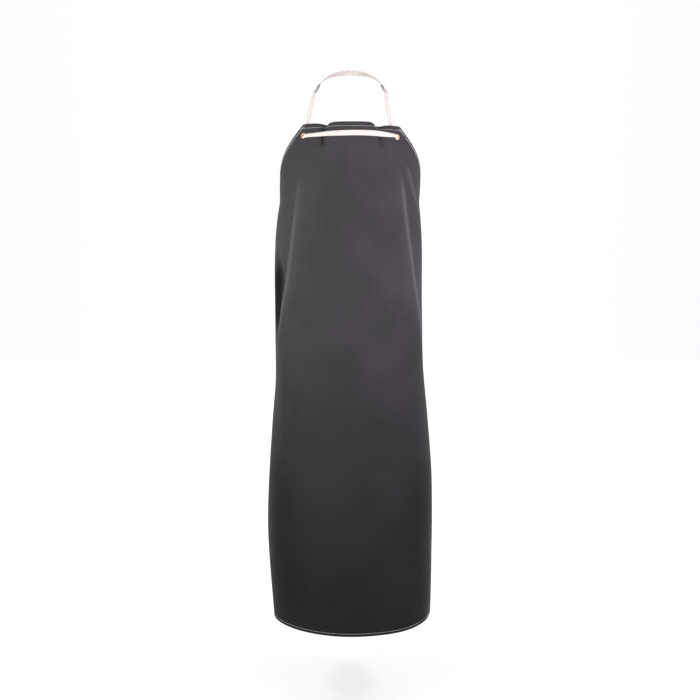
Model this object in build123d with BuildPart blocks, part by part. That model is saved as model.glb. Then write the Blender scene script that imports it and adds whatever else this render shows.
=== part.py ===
"""Bib apron of rubber-coated cotton, hung from a cotton neck tape.

The apron is shaped as it is worn: the bib is nearly flat across the chest and the panel wraps round
the body until its side edges almost meet behind. Millimetres, +Z up, the wearer faces -Y. The origin
is the middle of the nape, where the neck tape rests. Left and right are as seen from the front.
"""

from math import pi, sqrt
import os

from build123d import *

os.makedirs("parts", exist_ok=True)

# Driving dimensions

bib_forward = 160.0  # the bib's front stands this far ahead of the nape
bib_drop = 150.0  # the bib's top edge hangs this far below the nape
panel_width = 914.0  # the cloth's cut width, side edge to side edge
panel_length = 1180.0  # finished length, top edge to hem
armhole_depth = 300.0  # the side edges start this far below the top edge
cloth = 1.0  # thickness of one ply of coated cotton

# The body that the panel wraps: distance below the top edge, half-width, half-depth
form_stations = [
    (0.0, 160.0, 106.0),
    (70.0, 166.0, 112.0),
    (170.0, 168.0, 118.0),
    (420.0, 176.0, 128.0),
    (680.0, 186.0, 140.0),
    (940.0, 200.0, 155.0),
    (panel_length, 188.0, 165.0),
]

# The armhole's edge in side view: distance behind the bib's front, distance below its top edge
armhole_points = [(31.0, 0.0), (60.0, 38.0), (100.0, 80.0), (180.0, 172.0), (250.0, armhole_depth)]

top_hem_width = 12.0
armhole_hem_width = 10.0
side_hem_width = 12.0
bottom_hem_width = 14.0
stitch_width = 0.9  # a row of lockstitches
stitch_height = 0.4
top_stitch_inset = 9.0  # from each finished edge to the middle of its row of stitches
armhole_stitch_inset = 5.0
side_stitch_inset = 8.0
bottom_stitch_inset = 6.0

eyelet_hole = 3.2  # radii of a small two-part brass eyelet
eyelet_barrel = 3.8
eyelet_flange = 6.2
eyelet_sheet = 0.6  # thickness of its brass
eyelet_play = 0.1  # between the barrel and the cloth round it
washer_lift = 0.25  # a flat washer stands this far off the curved cloth
neck_eyelet_x = 107.0
neck_eyelet_drop = 25.5
waist_eyelet_inset = 24.0  # from the side edge
waist_eyelet_drop = armhole_depth + 28.0

tape_width = 12.0
tape_thickness = 1.0
tape_lift = 0.95  # the front span lies this far off the bib, over the eyelets' flanges
span_full_x = 86.0  # the front span keeps its full width to here, and narrows to its eyelets
bunch_width = 4.6  # the tape gathered up to pass an eyelet
bunch_thickness = 2.4
bunch_reach = 3.2  # how far the gathered tape comes out behind the bib
swing_gap = 2.4  # from the end of the gathered tape to the axis that the bib swings about

slide_inside = 14.0  # the metal slides that set the length of the neck tape
slide_rail = 2.6
slide_length = 16.0
slide_end_bar = 2.4
slide_sheet = 1.3
slide_bar_radius = 0.9
slide_play = 0.35  # between the metal and the tape, all round

# The neck tape's route on the right, from the nape to the eyelet: a point, and the way its
# lower or outer edge faces there
nape_route = [
    ((0.0, 0.5, 0.13), (0.0, 0.26, -0.97)),
    ((20.0, -1.6, -1.2), (0.0, 0.28, -0.96)),
    ((38.0, -9.0, -5.0), (0.08, 0.33, -0.94)),
    ((51.0, -21.0, -12.5), (0.18, 0.40, -0.90)),
    ((60.0, -36.0, -22.5), (0.30, 0.48, -0.82)),
    ((66.0, -50.0, -32.5), (0.42, 0.54, -0.73)),
]
slide_run = [(71.0, -66.0, -43.5), (81.0, -106.0, -71.0)]  # a straight run for the slide
slide_edge = (0.50, 0.58, -0.64)
riser_route = [
    ((85.2, -112.6, -83.0), (0.72, 0.36, -0.42)),
    ((90.5, -116.4, -105.0), (0.90, 0.12, -0.10)),
    ((96.5, -119.4, -132.0), (0.97, 0.00, 0.10)),
    ((102.4, -121.8, -158.0), (0.98, 0.00, 0.18)),
]
slide_place = 0.66  # of the way down the straight run
tail_end = 4  # the tape's doubled-back tail stops at this station of the riser
tail_gap = 0.15  # between the two plies

sides = {"left": -1, "right": 1}

# Values worked out from the driving dimensions

reach = 400.0  # longer than any depth or width that a cutting outline has to cross
hem_z = -bib_drop - panel_length


def form_at(drop):
    """The worn form's half-width and half-depth at a distance below the top edge."""
    for (drop_a, width_a, depth_a), (drop_b, width_b, depth_b) in zip(form_stations, form_stations[1:]):
        if drop <= drop_b:
            share = (drop - drop_a) / (drop_b - drop_a)
            return width_a + share * (width_b - width_a), depth_a + share * (depth_b - depth_a)
    return form_stations[-1][1:]


def girth_at(drop):
    """The distance round the worn form, by Ramanujan's formula for an ellipse."""
    a, b = form_at(drop)
    return pi * (3 * (a + b) - sqrt((3 * a + b) * (a + 3 * b)))


def back_gap(drop):
    """Half the opening between the side edges behind the wearer."""
    return (girth_at(drop) - panel_width) / 2


def surface_plane(x, drop, facing):
    """The plane that lies on the cloth's outside at x. facing is -1 on the front, 1 on the back."""
    a, b = form_at(drop)
    lower_a, lower_b = form_at(drop + 1)
    rise = sqrt(1 - (x / a) ** 2)
    flare = (lower_a - a) * x**2 / a**3 + (lower_b - b) * (facing * rise + rise**2) / b
    origin = Vector(x, -bib_forward + b + facing * b * rise, -bib_drop - drop)
    outward = Vector(x / a**2, facing * rise / b, flare)
    return Plane(origin=origin, x_dir=(0, 0, 1), z_dir=outward)


def worn_form(inset):
    """The solid that the cloth wraps, drawn in by inset all round."""
    with BuildPart() as form:
        for drop, a, b in form_stations:
            with BuildSketch(Plane((0, -bib_forward + b, -bib_drop - drop))):
                Ellipse(a - inset, b - inset)
        loft(ruled=True)
    return form.part


def armhole_line(shift):
    """The armhole's points in side view, moved into the cloth by shift."""
    step = shift / sqrt(2)
    return [(-bib_forward + back - step, -bib_drop - drop - step) for back, drop in armhole_points]


def side_outline():
    """The apron in side view, from the bib's front to behind its back edges."""
    edge = armhole_line(0)
    with BuildSketch(Plane.YZ) as outline:
        with BuildLine():
            arm = Spline(edge)
            corners = [(reach, edge[-1][1]), (reach, hem_z), (-reach, hem_z), (-reach, -bib_drop)]
            Polyline(arm @ 1, *corners, arm @ 0)
        make_face()
    return outline.sketch


def armhole_band(near, far):
    """The strip of the side view that lies between two distances from the armhole's edge."""
    with BuildSketch(Plane.YZ) as band:
        with BuildLine():
            upper = Spline(armhole_line(near))
            lower = Spline(armhole_line(far))
            Line(upper @ 0, lower @ 0)
            Line(upper @ 1, lower @ 1)
        make_face()
    return band.sketch


def back_band(near, far):
    """The strip of the back view that lies between two distances from the right side edge."""
    lower_drops = [drop for drop, _, _ in form_stations if drop > armhole_depth]
    drops = [armhole_depth - armhole_hem_width, *lower_drops]
    inner = [(back_gap(drop) + near, -bib_drop - drop) for drop in drops]
    outer = [(back_gap(drop) + far, -bib_drop - drop) for drop in drops]
    with BuildSketch(Plane.XZ) as band:
        with BuildLine():
            Polyline(*inner, *reversed(outer), close=True)
        make_face()
    return band.sketch


def back_opening():
    """The opening between the side edges, in back view."""
    lower_drops = [drop for drop, _, _ in form_stations if drop > armhole_depth]
    right = [(back_gap(drop), -bib_drop - drop) for drop in (armhole_depth, *lower_drops)]
    left = [(-x, z) for x, z in reversed(right)]
    top = -bib_drop
    with BuildSketch(Plane.XZ) as opening:
        with BuildLine():
            Polyline((right[0][0], top), *right, *left, (-right[0][0], top), close=True)
        make_face()
    return opening.sketch


def worn_ply(outer_inset, inner_inset):
    """A ply of the whole apron between two depths in the form, cut to its outline."""
    with BuildPart() as ply:
        add(worn_form(outer_inset))
        add(worn_form(inner_inset), mode=Mode.SUBTRACT)
        extrude(side_outline(), amount=reach, both=True, mode=Mode.INTERSECT)
        extrude(back_opening(), amount=-reach, mode=Mode.SUBTRACT)
    return ply.part


def slab(low, high):
    """A level slab between two distances below the top edge, for cutting a ply."""
    block = Box(2 * reach, 2 * reach, high - low, mode=Mode.PRIVATE)
    return Pos(0, 0, -bib_drop - (low + high) / 2) * block


def save(piece, name):
    """Label a finished piece and write its file."""
    piece.part.label = name
    export_step(piece.part, f"parts/{name}.step")


neck_planes = {side: surface_plane(sign * neck_eyelet_x, neck_eyelet_drop, -1) for side, sign in sides.items()}
waist_x = back_gap(waist_eyelet_drop) + waist_eyelet_inset
waist_planes = {side: surface_plane(sign * waist_x, waist_eyelet_drop, 1) for side, sign in sides.items()}
eyelet_planes = [*neck_planes.values(), *waist_planes.values()]

# The cloth: the panel, its turned hems and their stitching

panel_skin = worn_ply(0, cloth)
hem_skin = worn_ply(cloth, 2 * cloth)
stitch_skin = worn_ply(-stitch_height, 0)

with BuildPart() as apron_panel:
    add(panel_skin)
    for plane in eyelet_planes:
        with BuildSketch(plane):
            Circle(eyelet_barrel + eyelet_play)
        extrude(amount=4 * cloth, both=True, mode=Mode.SUBTRACT)
save(apron_panel, "apron_panel")


def top_edge_piece(skin, near, far):
    """The part of a ply along the bib's top edge, between its two corners."""
    corner_y = -bib_forward + armhole_points[0][0] + armhole_points[0][0] / 2
    with BuildPart() as piece:
        add(skin)
        add(slab(near, far), mode=Mode.INTERSECT)
        split(bisect_by=Plane.XZ.offset(-corner_y), keep=Keep.TOP)
    return piece


def armhole_piece(skin, sign, near, far):
    """The part of a ply along one armhole, between the top hem and the side hem."""
    with BuildPart() as piece:
        add(skin)
        extrude(armhole_band(near, far), amount=reach, both=True, mode=Mode.INTERSECT)
        split(bisect_by=Plane.YZ, keep=Keep.TOP if sign > 0 else Keep.BOTTOM)
        add(slab(-1, top_hem_width), mode=Mode.SUBTRACT)
        add(slab(armhole_depth - armhole_hem_width, panel_length), mode=Mode.SUBTRACT)
    return piece


def side_piece(skin, sign, near, far):
    """The part of a ply along one side edge, down to the bottom hem."""
    with BuildPart() as piece:
        add(skin)
        if sign > 0:
            extrude(back_band(near, far), amount=-reach, mode=Mode.INTERSECT)
        else:
            extrude(back_band(near, far).mirror(Plane.YZ), amount=-reach, mode=Mode.INTERSECT)
        add(slab(-1, armhole_depth - armhole_hem_width), mode=Mode.SUBTRACT)
        add(slab(panel_length - bottom_hem_width, panel_length + 1), mode=Mode.SUBTRACT)
    return piece


def bottom_piece(skin, near, far):
    """The part of a ply along the hem, between two heights above it."""
    with BuildPart() as piece:
        add(skin)
        add(slab(panel_length - far, panel_length - near), mode=Mode.INTERSECT)
    return piece


def row(inset):
    """The two distances from an edge that a row of stitches lies between."""
    return inset - stitch_width / 2, inset + stitch_width / 2


save(top_edge_piece(hem_skin, 0, top_hem_width), "top_hem")
save(top_edge_piece(stitch_skin, *row(top_stitch_inset)), "top_stitching")
save(bottom_piece(hem_skin, 0, bottom_hem_width), "bottom_hem")
save(bottom_piece(stitch_skin, *row(bottom_stitch_inset)), "bottom_stitching")
for side, sign in sides.items():
    save(armhole_piece(hem_skin, sign, 0, armhole_hem_width), f"{side}_armhole_hem")
    save(armhole_piece(stitch_skin, sign, *row(armhole_stitch_inset)), f"{side}_armhole_stitching")
    save(side_piece(hem_skin, sign, 0, side_hem_width), f"{side}_side_hem")
    save(side_piece(stitch_skin, sign, *row(side_stitch_inset)), f"{side}_side_stitching")

# Brass eyelets: a flanged barrel from the front, and a washer behind

for place, planes in {"neck": neck_planes, "waist": waist_planes}.items():
    for side, plane in planes.items():
        washer_plane = plane.offset(-cloth - washer_lift)
        with BuildPart() as eyelet:
            with BuildSketch(plane.offset(eyelet_play)):
                Circle(eyelet_flange)
            extrude(amount=eyelet_sheet)
            with BuildSketch(washer_plane.offset(-eyelet_sheet)):
                Circle(eyelet_barrel)
            extrude(amount=cloth + washer_lift + eyelet_sheet + eyelet_play)
            with BuildSketch(plane):
                Circle(eyelet_hole)
            extrude(amount=4 * cloth, both=True, mode=Mode.SUBTRACT)
            rim = eyelet.edges().filter_by(GeomType.CIRCLE).sort_by(SortBy.RADIUS)[-1]
            chamfer(rim, eyelet_sheet / 3)
        save(eyelet, f"{side}_{place}_eyelet")

        with BuildPart() as washer:
            with BuildSketch(washer_plane):
                Circle(eyelet_flange)
                Circle(eyelet_barrel, mode=Mode.SUBTRACT)
            extrude(amount=-eyelet_sheet)
        save(washer, f"{side}_{place}_washer")

# The neck tape: a span across the bib, a doubled riser behind each eyelet, and the nape


def route_planes(route):
    """A plane square to the tape at each point of a route, its x along the tape's width."""
    planes = []
    for i, (point, edge) in enumerate(route):
        before = Vector(*route[max(i - 1, 0)][0])
        after = Vector(*route[min(i + 1, len(route) - 1)][0])
        planes.append(Plane(origin=point, x_dir=edge, z_dir=after - before))
    return planes


def mirrored(route):
    """The same stretch of tape on the other side of the neck."""
    return [((-p[0], p[1], p[2]), (-e[0], e[1], e[2])) for p, e in route]


def on_side(route, sign):
    """A right-hand route, mirrored for the left."""
    return route if sign > 0 else mirrored(route)


def tape(planes, sizes, lift=0.0):
    """A ribbon through square-cut sections, one (width, thickness) for each plane."""
    with BuildPart() as ribbon:
        for plane, (width, thickness) in zip(planes, sizes):
            with BuildSketch(plane):
                with Locations((0, lift)):
                    Rectangle(width, thickness)
        loft(ruled=True)
    return ribbon


full_size = (tape_width, tape_thickness)
run_top, run_bottom = (Vector(*point) for point in slide_run)
run_way = (run_bottom - run_top).normalized()
run_route = [(tuple(run_top), slide_edge), (tuple(run_bottom), slide_edge)]

right_nape = nape_route[1:] + run_route[:1]
whole_nape = [*reversed(mirrored(right_nape)), nape_route[0], *right_nape]
nape_planes = route_planes(whole_nape)
left_way = Vector(run_way.X, -run_way.Y, -run_way.Z)  # up the left-hand run, towards the nape
nape_planes[0] = Plane(origin=nape_planes[0].origin, x_dir=whole_nape[0][1], z_dir=left_way)
nape_planes[-1] = Plane(origin=nape_planes[-1].origin, x_dir=whole_nape[-1][1], z_dir=run_way)
nape_tape = tape(nape_planes, [full_size] * len(nape_planes))
save(nape_tape, "nape_tape")

# Where the bib swings on its tape: the ends of the gathered tape, behind the two eyelets
eye = neck_planes["right"]
bunch_end = eye.origin - eye.z_dir * (cloth + bunch_reach)
swing_point = bunch_end - eye.z_dir * swing_gap
swing_edge = (-eye.z_dir.Y, eye.z_dir.X, 0.0)  # level, and along the cloth
gathered = [(0.8 * tape_width, tape_thickness), (bunch_width, bunch_thickness)]

slide_origin = run_top + (run_bottom - run_top) * slide_place
plies = 2 * tape_thickness + tail_gap  # the two plies that each slide holds

for side, sign in sides.items():
    # The riser: down the straight run, then down behind the bib to the eyelet
    route = on_side([*run_route, *riser_route, (tuple(swing_point), swing_edge)], sign)
    planes = route_planes(route)
    planes[0] = Plane(origin=route[0][0], x_dir=route[0][1], z_dir=Vector(sign * run_way.X, run_way.Y, run_way.Z))
    riser_tape = tape(planes, [full_size] * (len(planes) - 2) + gathered)
    save(riser_tape, f"{side}_riser_tape")

    # The doubled-back tail lies on the riser's outer face, which sign points along from its planes
    lift = sign * (tape_thickness + tail_gap)
    tail_tape = tape(planes[: tail_end + 1], [full_size] * (tail_end + 1), lift)
    save(tail_tape, f"{side}_tail_tape")

    # The slide: a sheet-metal frame over the two plies, and a round bar under them
    place = Vector(sign * slide_origin.X, slide_origin.Y, slide_origin.Z)
    seat = Plane(origin=place, x_dir=planes[0].x_dir, z_dir=planes[0].z_dir)
    under = -sign * (tape_thickness / 2 + slide_play)
    over = sign * (plies - tape_thickness / 2 + slide_play)
    rail_under = under - sign * 2 * slide_bar_radius
    rail_over = over + sign * slide_sheet
    with BuildPart() as slide_frame:
        with BuildSketch(seat):
            with Locations((0, (rail_under + rail_over) / 2)):
                Rectangle(slide_inside + 2 * slide_rail, abs(rail_over - rail_under))
                Rectangle(slide_inside, reach, mode=Mode.SUBTRACT)
        extrude(amount=slide_length / 2, both=True)
        for end in (-1, 1):
            with BuildSketch(seat.offset(end * (slide_length - slide_end_bar) / 2)):
                with Locations((0, (over + rail_over) / 2)):
                    Rectangle(slide_inside, slide_sheet)
            extrude(amount=slide_end_bar / 2, both=True)
    save(slide_frame, f"{side}_slide_frame")

    bar_place = place + seat.y_dir * (under - sign * slide_bar_radius)
    with BuildPart() as slide_bar:
        with BuildSketch(Plane(origin=bar_place, x_dir=seat.z_dir, z_dir=seat.x_dir)):
            Circle(slide_bar_radius)
        extrude(amount=slide_inside / 2, both=True)
    save(slide_bar, f"{side}_slide_bar")

# The span across the bib's front, gathered at both ends to pass the eyelets
span_skin = worn_ply(-tape_lift - tape_thickness, -tape_lift)
span_z = -bib_drop - neck_eyelet_drop
with BuildPart() as front_span_tape:
    add(span_skin)
    with BuildSketch(Plane.XZ):
        with BuildLine():
            half = Polyline(
                (0, span_z + tape_width / 2),
                (span_full_x, span_z + tape_width / 2),
                (neck_eyelet_x + bunch_width / 2, span_z + bunch_width / 2),
                (neck_eyelet_x + bunch_width / 2, span_z - bunch_width / 2),
                (span_full_x, span_z - tape_width / 2),
                (0, span_z - tape_width / 2),
            )
            mirror(half, about=Plane.YZ)
        make_face()
    extrude(amount=reach, mode=Mode.INTERSECT)
    for plane in neck_planes.values():
        with BuildSketch(plane.offset(tape_lift + tape_thickness / 2)):
            Rectangle(bunch_width, bunch_thickness)
        extrude(amount=-(tape_lift + tape_thickness / 2 + cloth + bunch_reach))
save(front_span_tape, "front_span_tape")

print("bib swing axis through y, z:", swing_point.Y, swing_point.Z)
print("slide place", slide_origin, "run", run_way, "length", (run_bottom - run_top).length)
print("waist eyelet", waist_planes["right"].origin, waist_planes["right"].z_dir)
for piece in (nape_tape, riser_tape, front_span_tape):
    print(piece.part.label, "length about", piece.part.volume / tape_width / tape_thickness)
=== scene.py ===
"""Looks for a long bib apron of rubber-coated cotton that hangs from a cotton neck tape.

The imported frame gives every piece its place. Each sub-assembly is a class that builds its own meshes
round the frame and dresses them: the cloth with its hems and stitches, the brass eyelets, the neck
tape, the metal slides on the tape, and the studio. Metres, +Z up, the wearer faces -Y.
"""

import logging
import math
from collections.abc import Sequence
from dataclasses import dataclass, field
from enum import Enum

import bpy
import numpy as np
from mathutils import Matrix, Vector


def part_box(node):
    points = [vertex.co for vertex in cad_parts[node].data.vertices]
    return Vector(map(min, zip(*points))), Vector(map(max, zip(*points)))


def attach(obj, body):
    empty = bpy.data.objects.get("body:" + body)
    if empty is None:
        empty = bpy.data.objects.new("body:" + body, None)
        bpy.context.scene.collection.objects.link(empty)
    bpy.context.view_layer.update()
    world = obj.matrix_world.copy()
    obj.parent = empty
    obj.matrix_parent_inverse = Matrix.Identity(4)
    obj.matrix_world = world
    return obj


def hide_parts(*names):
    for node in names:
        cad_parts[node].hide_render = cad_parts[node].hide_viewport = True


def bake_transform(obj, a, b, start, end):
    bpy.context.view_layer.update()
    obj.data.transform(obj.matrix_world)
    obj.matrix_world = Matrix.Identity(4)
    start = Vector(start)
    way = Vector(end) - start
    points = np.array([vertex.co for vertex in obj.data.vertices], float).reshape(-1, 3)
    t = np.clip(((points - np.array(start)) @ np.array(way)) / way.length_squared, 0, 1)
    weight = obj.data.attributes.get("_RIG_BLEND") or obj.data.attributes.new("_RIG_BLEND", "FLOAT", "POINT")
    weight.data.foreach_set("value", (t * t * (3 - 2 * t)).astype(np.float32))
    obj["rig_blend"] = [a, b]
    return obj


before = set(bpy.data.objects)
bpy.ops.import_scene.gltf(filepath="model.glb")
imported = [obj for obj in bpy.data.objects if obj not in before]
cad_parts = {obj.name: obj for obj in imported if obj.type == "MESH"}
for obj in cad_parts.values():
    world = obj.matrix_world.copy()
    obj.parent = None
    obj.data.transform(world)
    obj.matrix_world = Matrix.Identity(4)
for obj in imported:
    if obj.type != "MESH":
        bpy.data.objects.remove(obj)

LOG = logging.getLogger("apron")
SEARCH_STEPS = 1200  # places tried across the cloth to find an eyelet's own
SHADE_LAYER = "painted_shade"
HIGHLIGHT_LAYER = "wear_and_highlight"
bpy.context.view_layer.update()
MM = 0.001
UP = (0.0, 0.0, 1.0)

Colour = tuple[float, float, float, float]
Place = tuple[float, float, float]
Line = tuple[tuple[float, float], ...]  # (place, value) pairs that a smooth curve runs through
Span = tuple[float, float]  # where something starts to come in, and where it is all there
Band = tuple[float, float, float, float]  # a span to come in over, then one to go out over


class Body(str, Enum):
    """The frame's moving bodies that built pieces ride on."""

    NECK_LOOP = "neck_loop"
    APRON = "apron"


class Slot(str, Enum):
    """The record's material slots that built pieces belong to."""

    COATED_COTTON = "coated_cotton"
    COTTON_TAPE = "cotton_tape"
    THREAD = "thread"
    BRASS = "brass"


class Side(Enum):
    """The two sides of the apron, as seen from the front."""

    LEFT = -1
    RIGHT = 1

    @property
    def word(self) -> str:
        """The side's name, as the frame's nodes spell it."""
        return self.name.lower()


# Small numeric helpers


def ease(values: np.ndarray, low: float, high: float) -> np.ndarray:
    """A smooth rise from 0 at low to 1 at high.

    Args:
        values: where to read the rise.
        low: where it starts.
        high: where it ends.

    Returns:
        The rise at each value.
    """
    share = np.clip((values - low) / (high - low), 0.0, 1.0)
    return share * share * (3.0 - 2.0 * share)


def band(values: np.ndarray, start: float, full: float, fade: float, end: float) -> np.ndarray:
    """A smooth rise to 1, a level stretch, and a smooth fall back to 0.

    Args:
        values: where to read it.
        start: where the rise starts.
        full: where the rise ends.
        fade: where the fall starts.
        end: where the fall ends.

    Returns:
        The height at each value.
    """
    return ease(values, start, full) * (1.0 - ease(values, fade, end))


def swell(values: np.ndarray, width: float | np.ndarray) -> np.ndarray:
    """A bell of height 1 round zero.

    Args:
        values: distances from the middle of the bell.
        width: the distance at which it has fallen to about a third.

    Returns:
        The bell's height at each value.
    """
    return np.exp(-((values / width) ** 2))


def lopsided(values: np.ndarray, before: float, after: float) -> np.ndarray:
    """A bell of height 1 round zero, whose two sides have their own widths."""
    return swell(values, np.where(values < 0, before, after))


def crest(values: np.ndarray, before: float, after: float, rounding: float) -> np.ndarray:
    """A ridge of height 1 at zero, which falls away in two different slopes from a rounded top.

    Args:
        values: distances from the ridge's line.
        before: how far the side below zero reaches.
        after: how far the side above zero reaches.
        rounding: the radius of its top.

    Returns:
        The ridge's height at each value.
    """
    away = np.sqrt(values**2 + rounding**2) - rounding
    return np.exp(-away / np.where(values < 0, before, after))


def through(points: Sequence[tuple[float, float]], at: np.ndarray) -> np.ndarray:
    """A smooth curve through a few points, read at given places.

    Args:
        points: (place, value) pairs, in order of place.
        at: the places to read.

    Returns:
        The curve's value at each place.
    """
    xs, ys = (np.array(column, float) for column in zip(*points))
    slopes = np.gradient(ys, xs)
    i = np.clip(np.searchsorted(xs, at) - 1, 0, len(xs) - 2)
    span = xs[i + 1] - xs[i]
    t = np.clip((at - xs[i]) / span, 0.0, 1.0)
    start = (1 + 2 * t) * (1 - t) ** 2 * ys[i] + t * (1 - t) ** 2 * span * slopes[i]
    end = t * t * (3 - 2 * t) * ys[i + 1] + t * t * (t - 1) * span * slopes[i + 1]
    return start + end


def unit(vectors: np.ndarray) -> np.ndarray:
    """The same directions, each of length 1."""
    return vectors / np.maximum(np.linalg.norm(vectors, axis=-1, keepdims=True), 1e-12)


def grid_faces(rows: int, columns: int, closed: bool = False) -> list[tuple[int, int, int, int]]:
    """Quads between neighbouring points of a grid.

    Args:
        rows: how many rows of points.
        columns: how many points in a row.
        closed: whether each row runs back to its start.

    Returns:
        The quads, as indices into the points taken row by row.
    """
    last = columns if closed else columns - 1
    quads = []
    for r in range(rows - 1):
        for c in range(last):
            d = (c + 1) % columns
            quads.append((r * columns + c, r * columns + d, (r + 1) * columns + d, (r + 1) * columns + c))
    return quads


def hoop_faces(rows: int, columns: int) -> list[tuple[int, ...]]:
    """The faces of a tube that runs back into itself.

    Args:
        rows: how many rings of points.
        columns: how many points in a ring.

    Returns:
        The quads, as indices into the points taken ring by ring.
    """
    total = rows * columns
    return [tuple(i % total for i in quad) for quad in grid_faces(rows + 1, columns, closed=True)]


def tube_faces(rows: int, columns: int) -> list[tuple[int, ...]]:
    """The faces of a closed tube with a flat face on each end.

    Args:
        rows: how many rings of points.
        columns: how many points in a ring.

    Returns:
        The faces, as indices into the points taken ring by ring.
    """
    first = tuple(reversed(range(columns)))
    last = tuple((rows - 1) * columns + c for c in range(columns))
    return [*grid_faces(rows, columns, closed=True), first, last]


def make_piece(
    name: str,
    points: np.ndarray,
    faces: list[tuple[int, ...]],
    flat: np.ndarray | None = None,
    smooth: bool = True,
) -> bpy.types.Object:
    """A mesh object in the scene.

    Args:
        name: the piece's name.
        points: its vertices, in metres.
        faces: its faces.
        flat: each vertex's place in the flat cloth, in metres, which becomes the UV map.
        smooth: whether its faces are smooth shaded.

    Returns:
        The new object.
    """
    mesh = bpy.data.meshes.new(name)
    mesh.from_pydata([tuple(p) for p in points], [], faces)
    if flat is not None:
        layer = mesh.uv_layers.new(name="flat")
        corners = np.empty(len(mesh.loops), np.int32)
        mesh.loops.foreach_get("vertex_index", corners)
        layer.data.foreach_set("uv", flat[corners].astype(np.float32).ravel())
    mesh.polygons.foreach_set("use_smooth", [smooth] * len(mesh.polygons))
    mesh.update()
    piece = bpy.data.objects.new(name, mesh)
    bpy.context.scene.collection.objects.link(piece)
    return piece


def dress(piece: bpy.types.Object, material: bpy.types.Material, body: Body, slot: Slot, *nodes: str) -> None:
    """Give a piece its finish and its place in the frame.

    Args:
        piece: the piece.
        material: its finish.
        body: the moving body that it rides on.
        slot: the record's material slot that the finish belongs to; not used.
        *nodes: the frame's nodes that it stands for.
    """
    piece.data.materials.append(material)
    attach(piece, body.value)
    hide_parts(*nodes)


# Finishes


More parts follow.
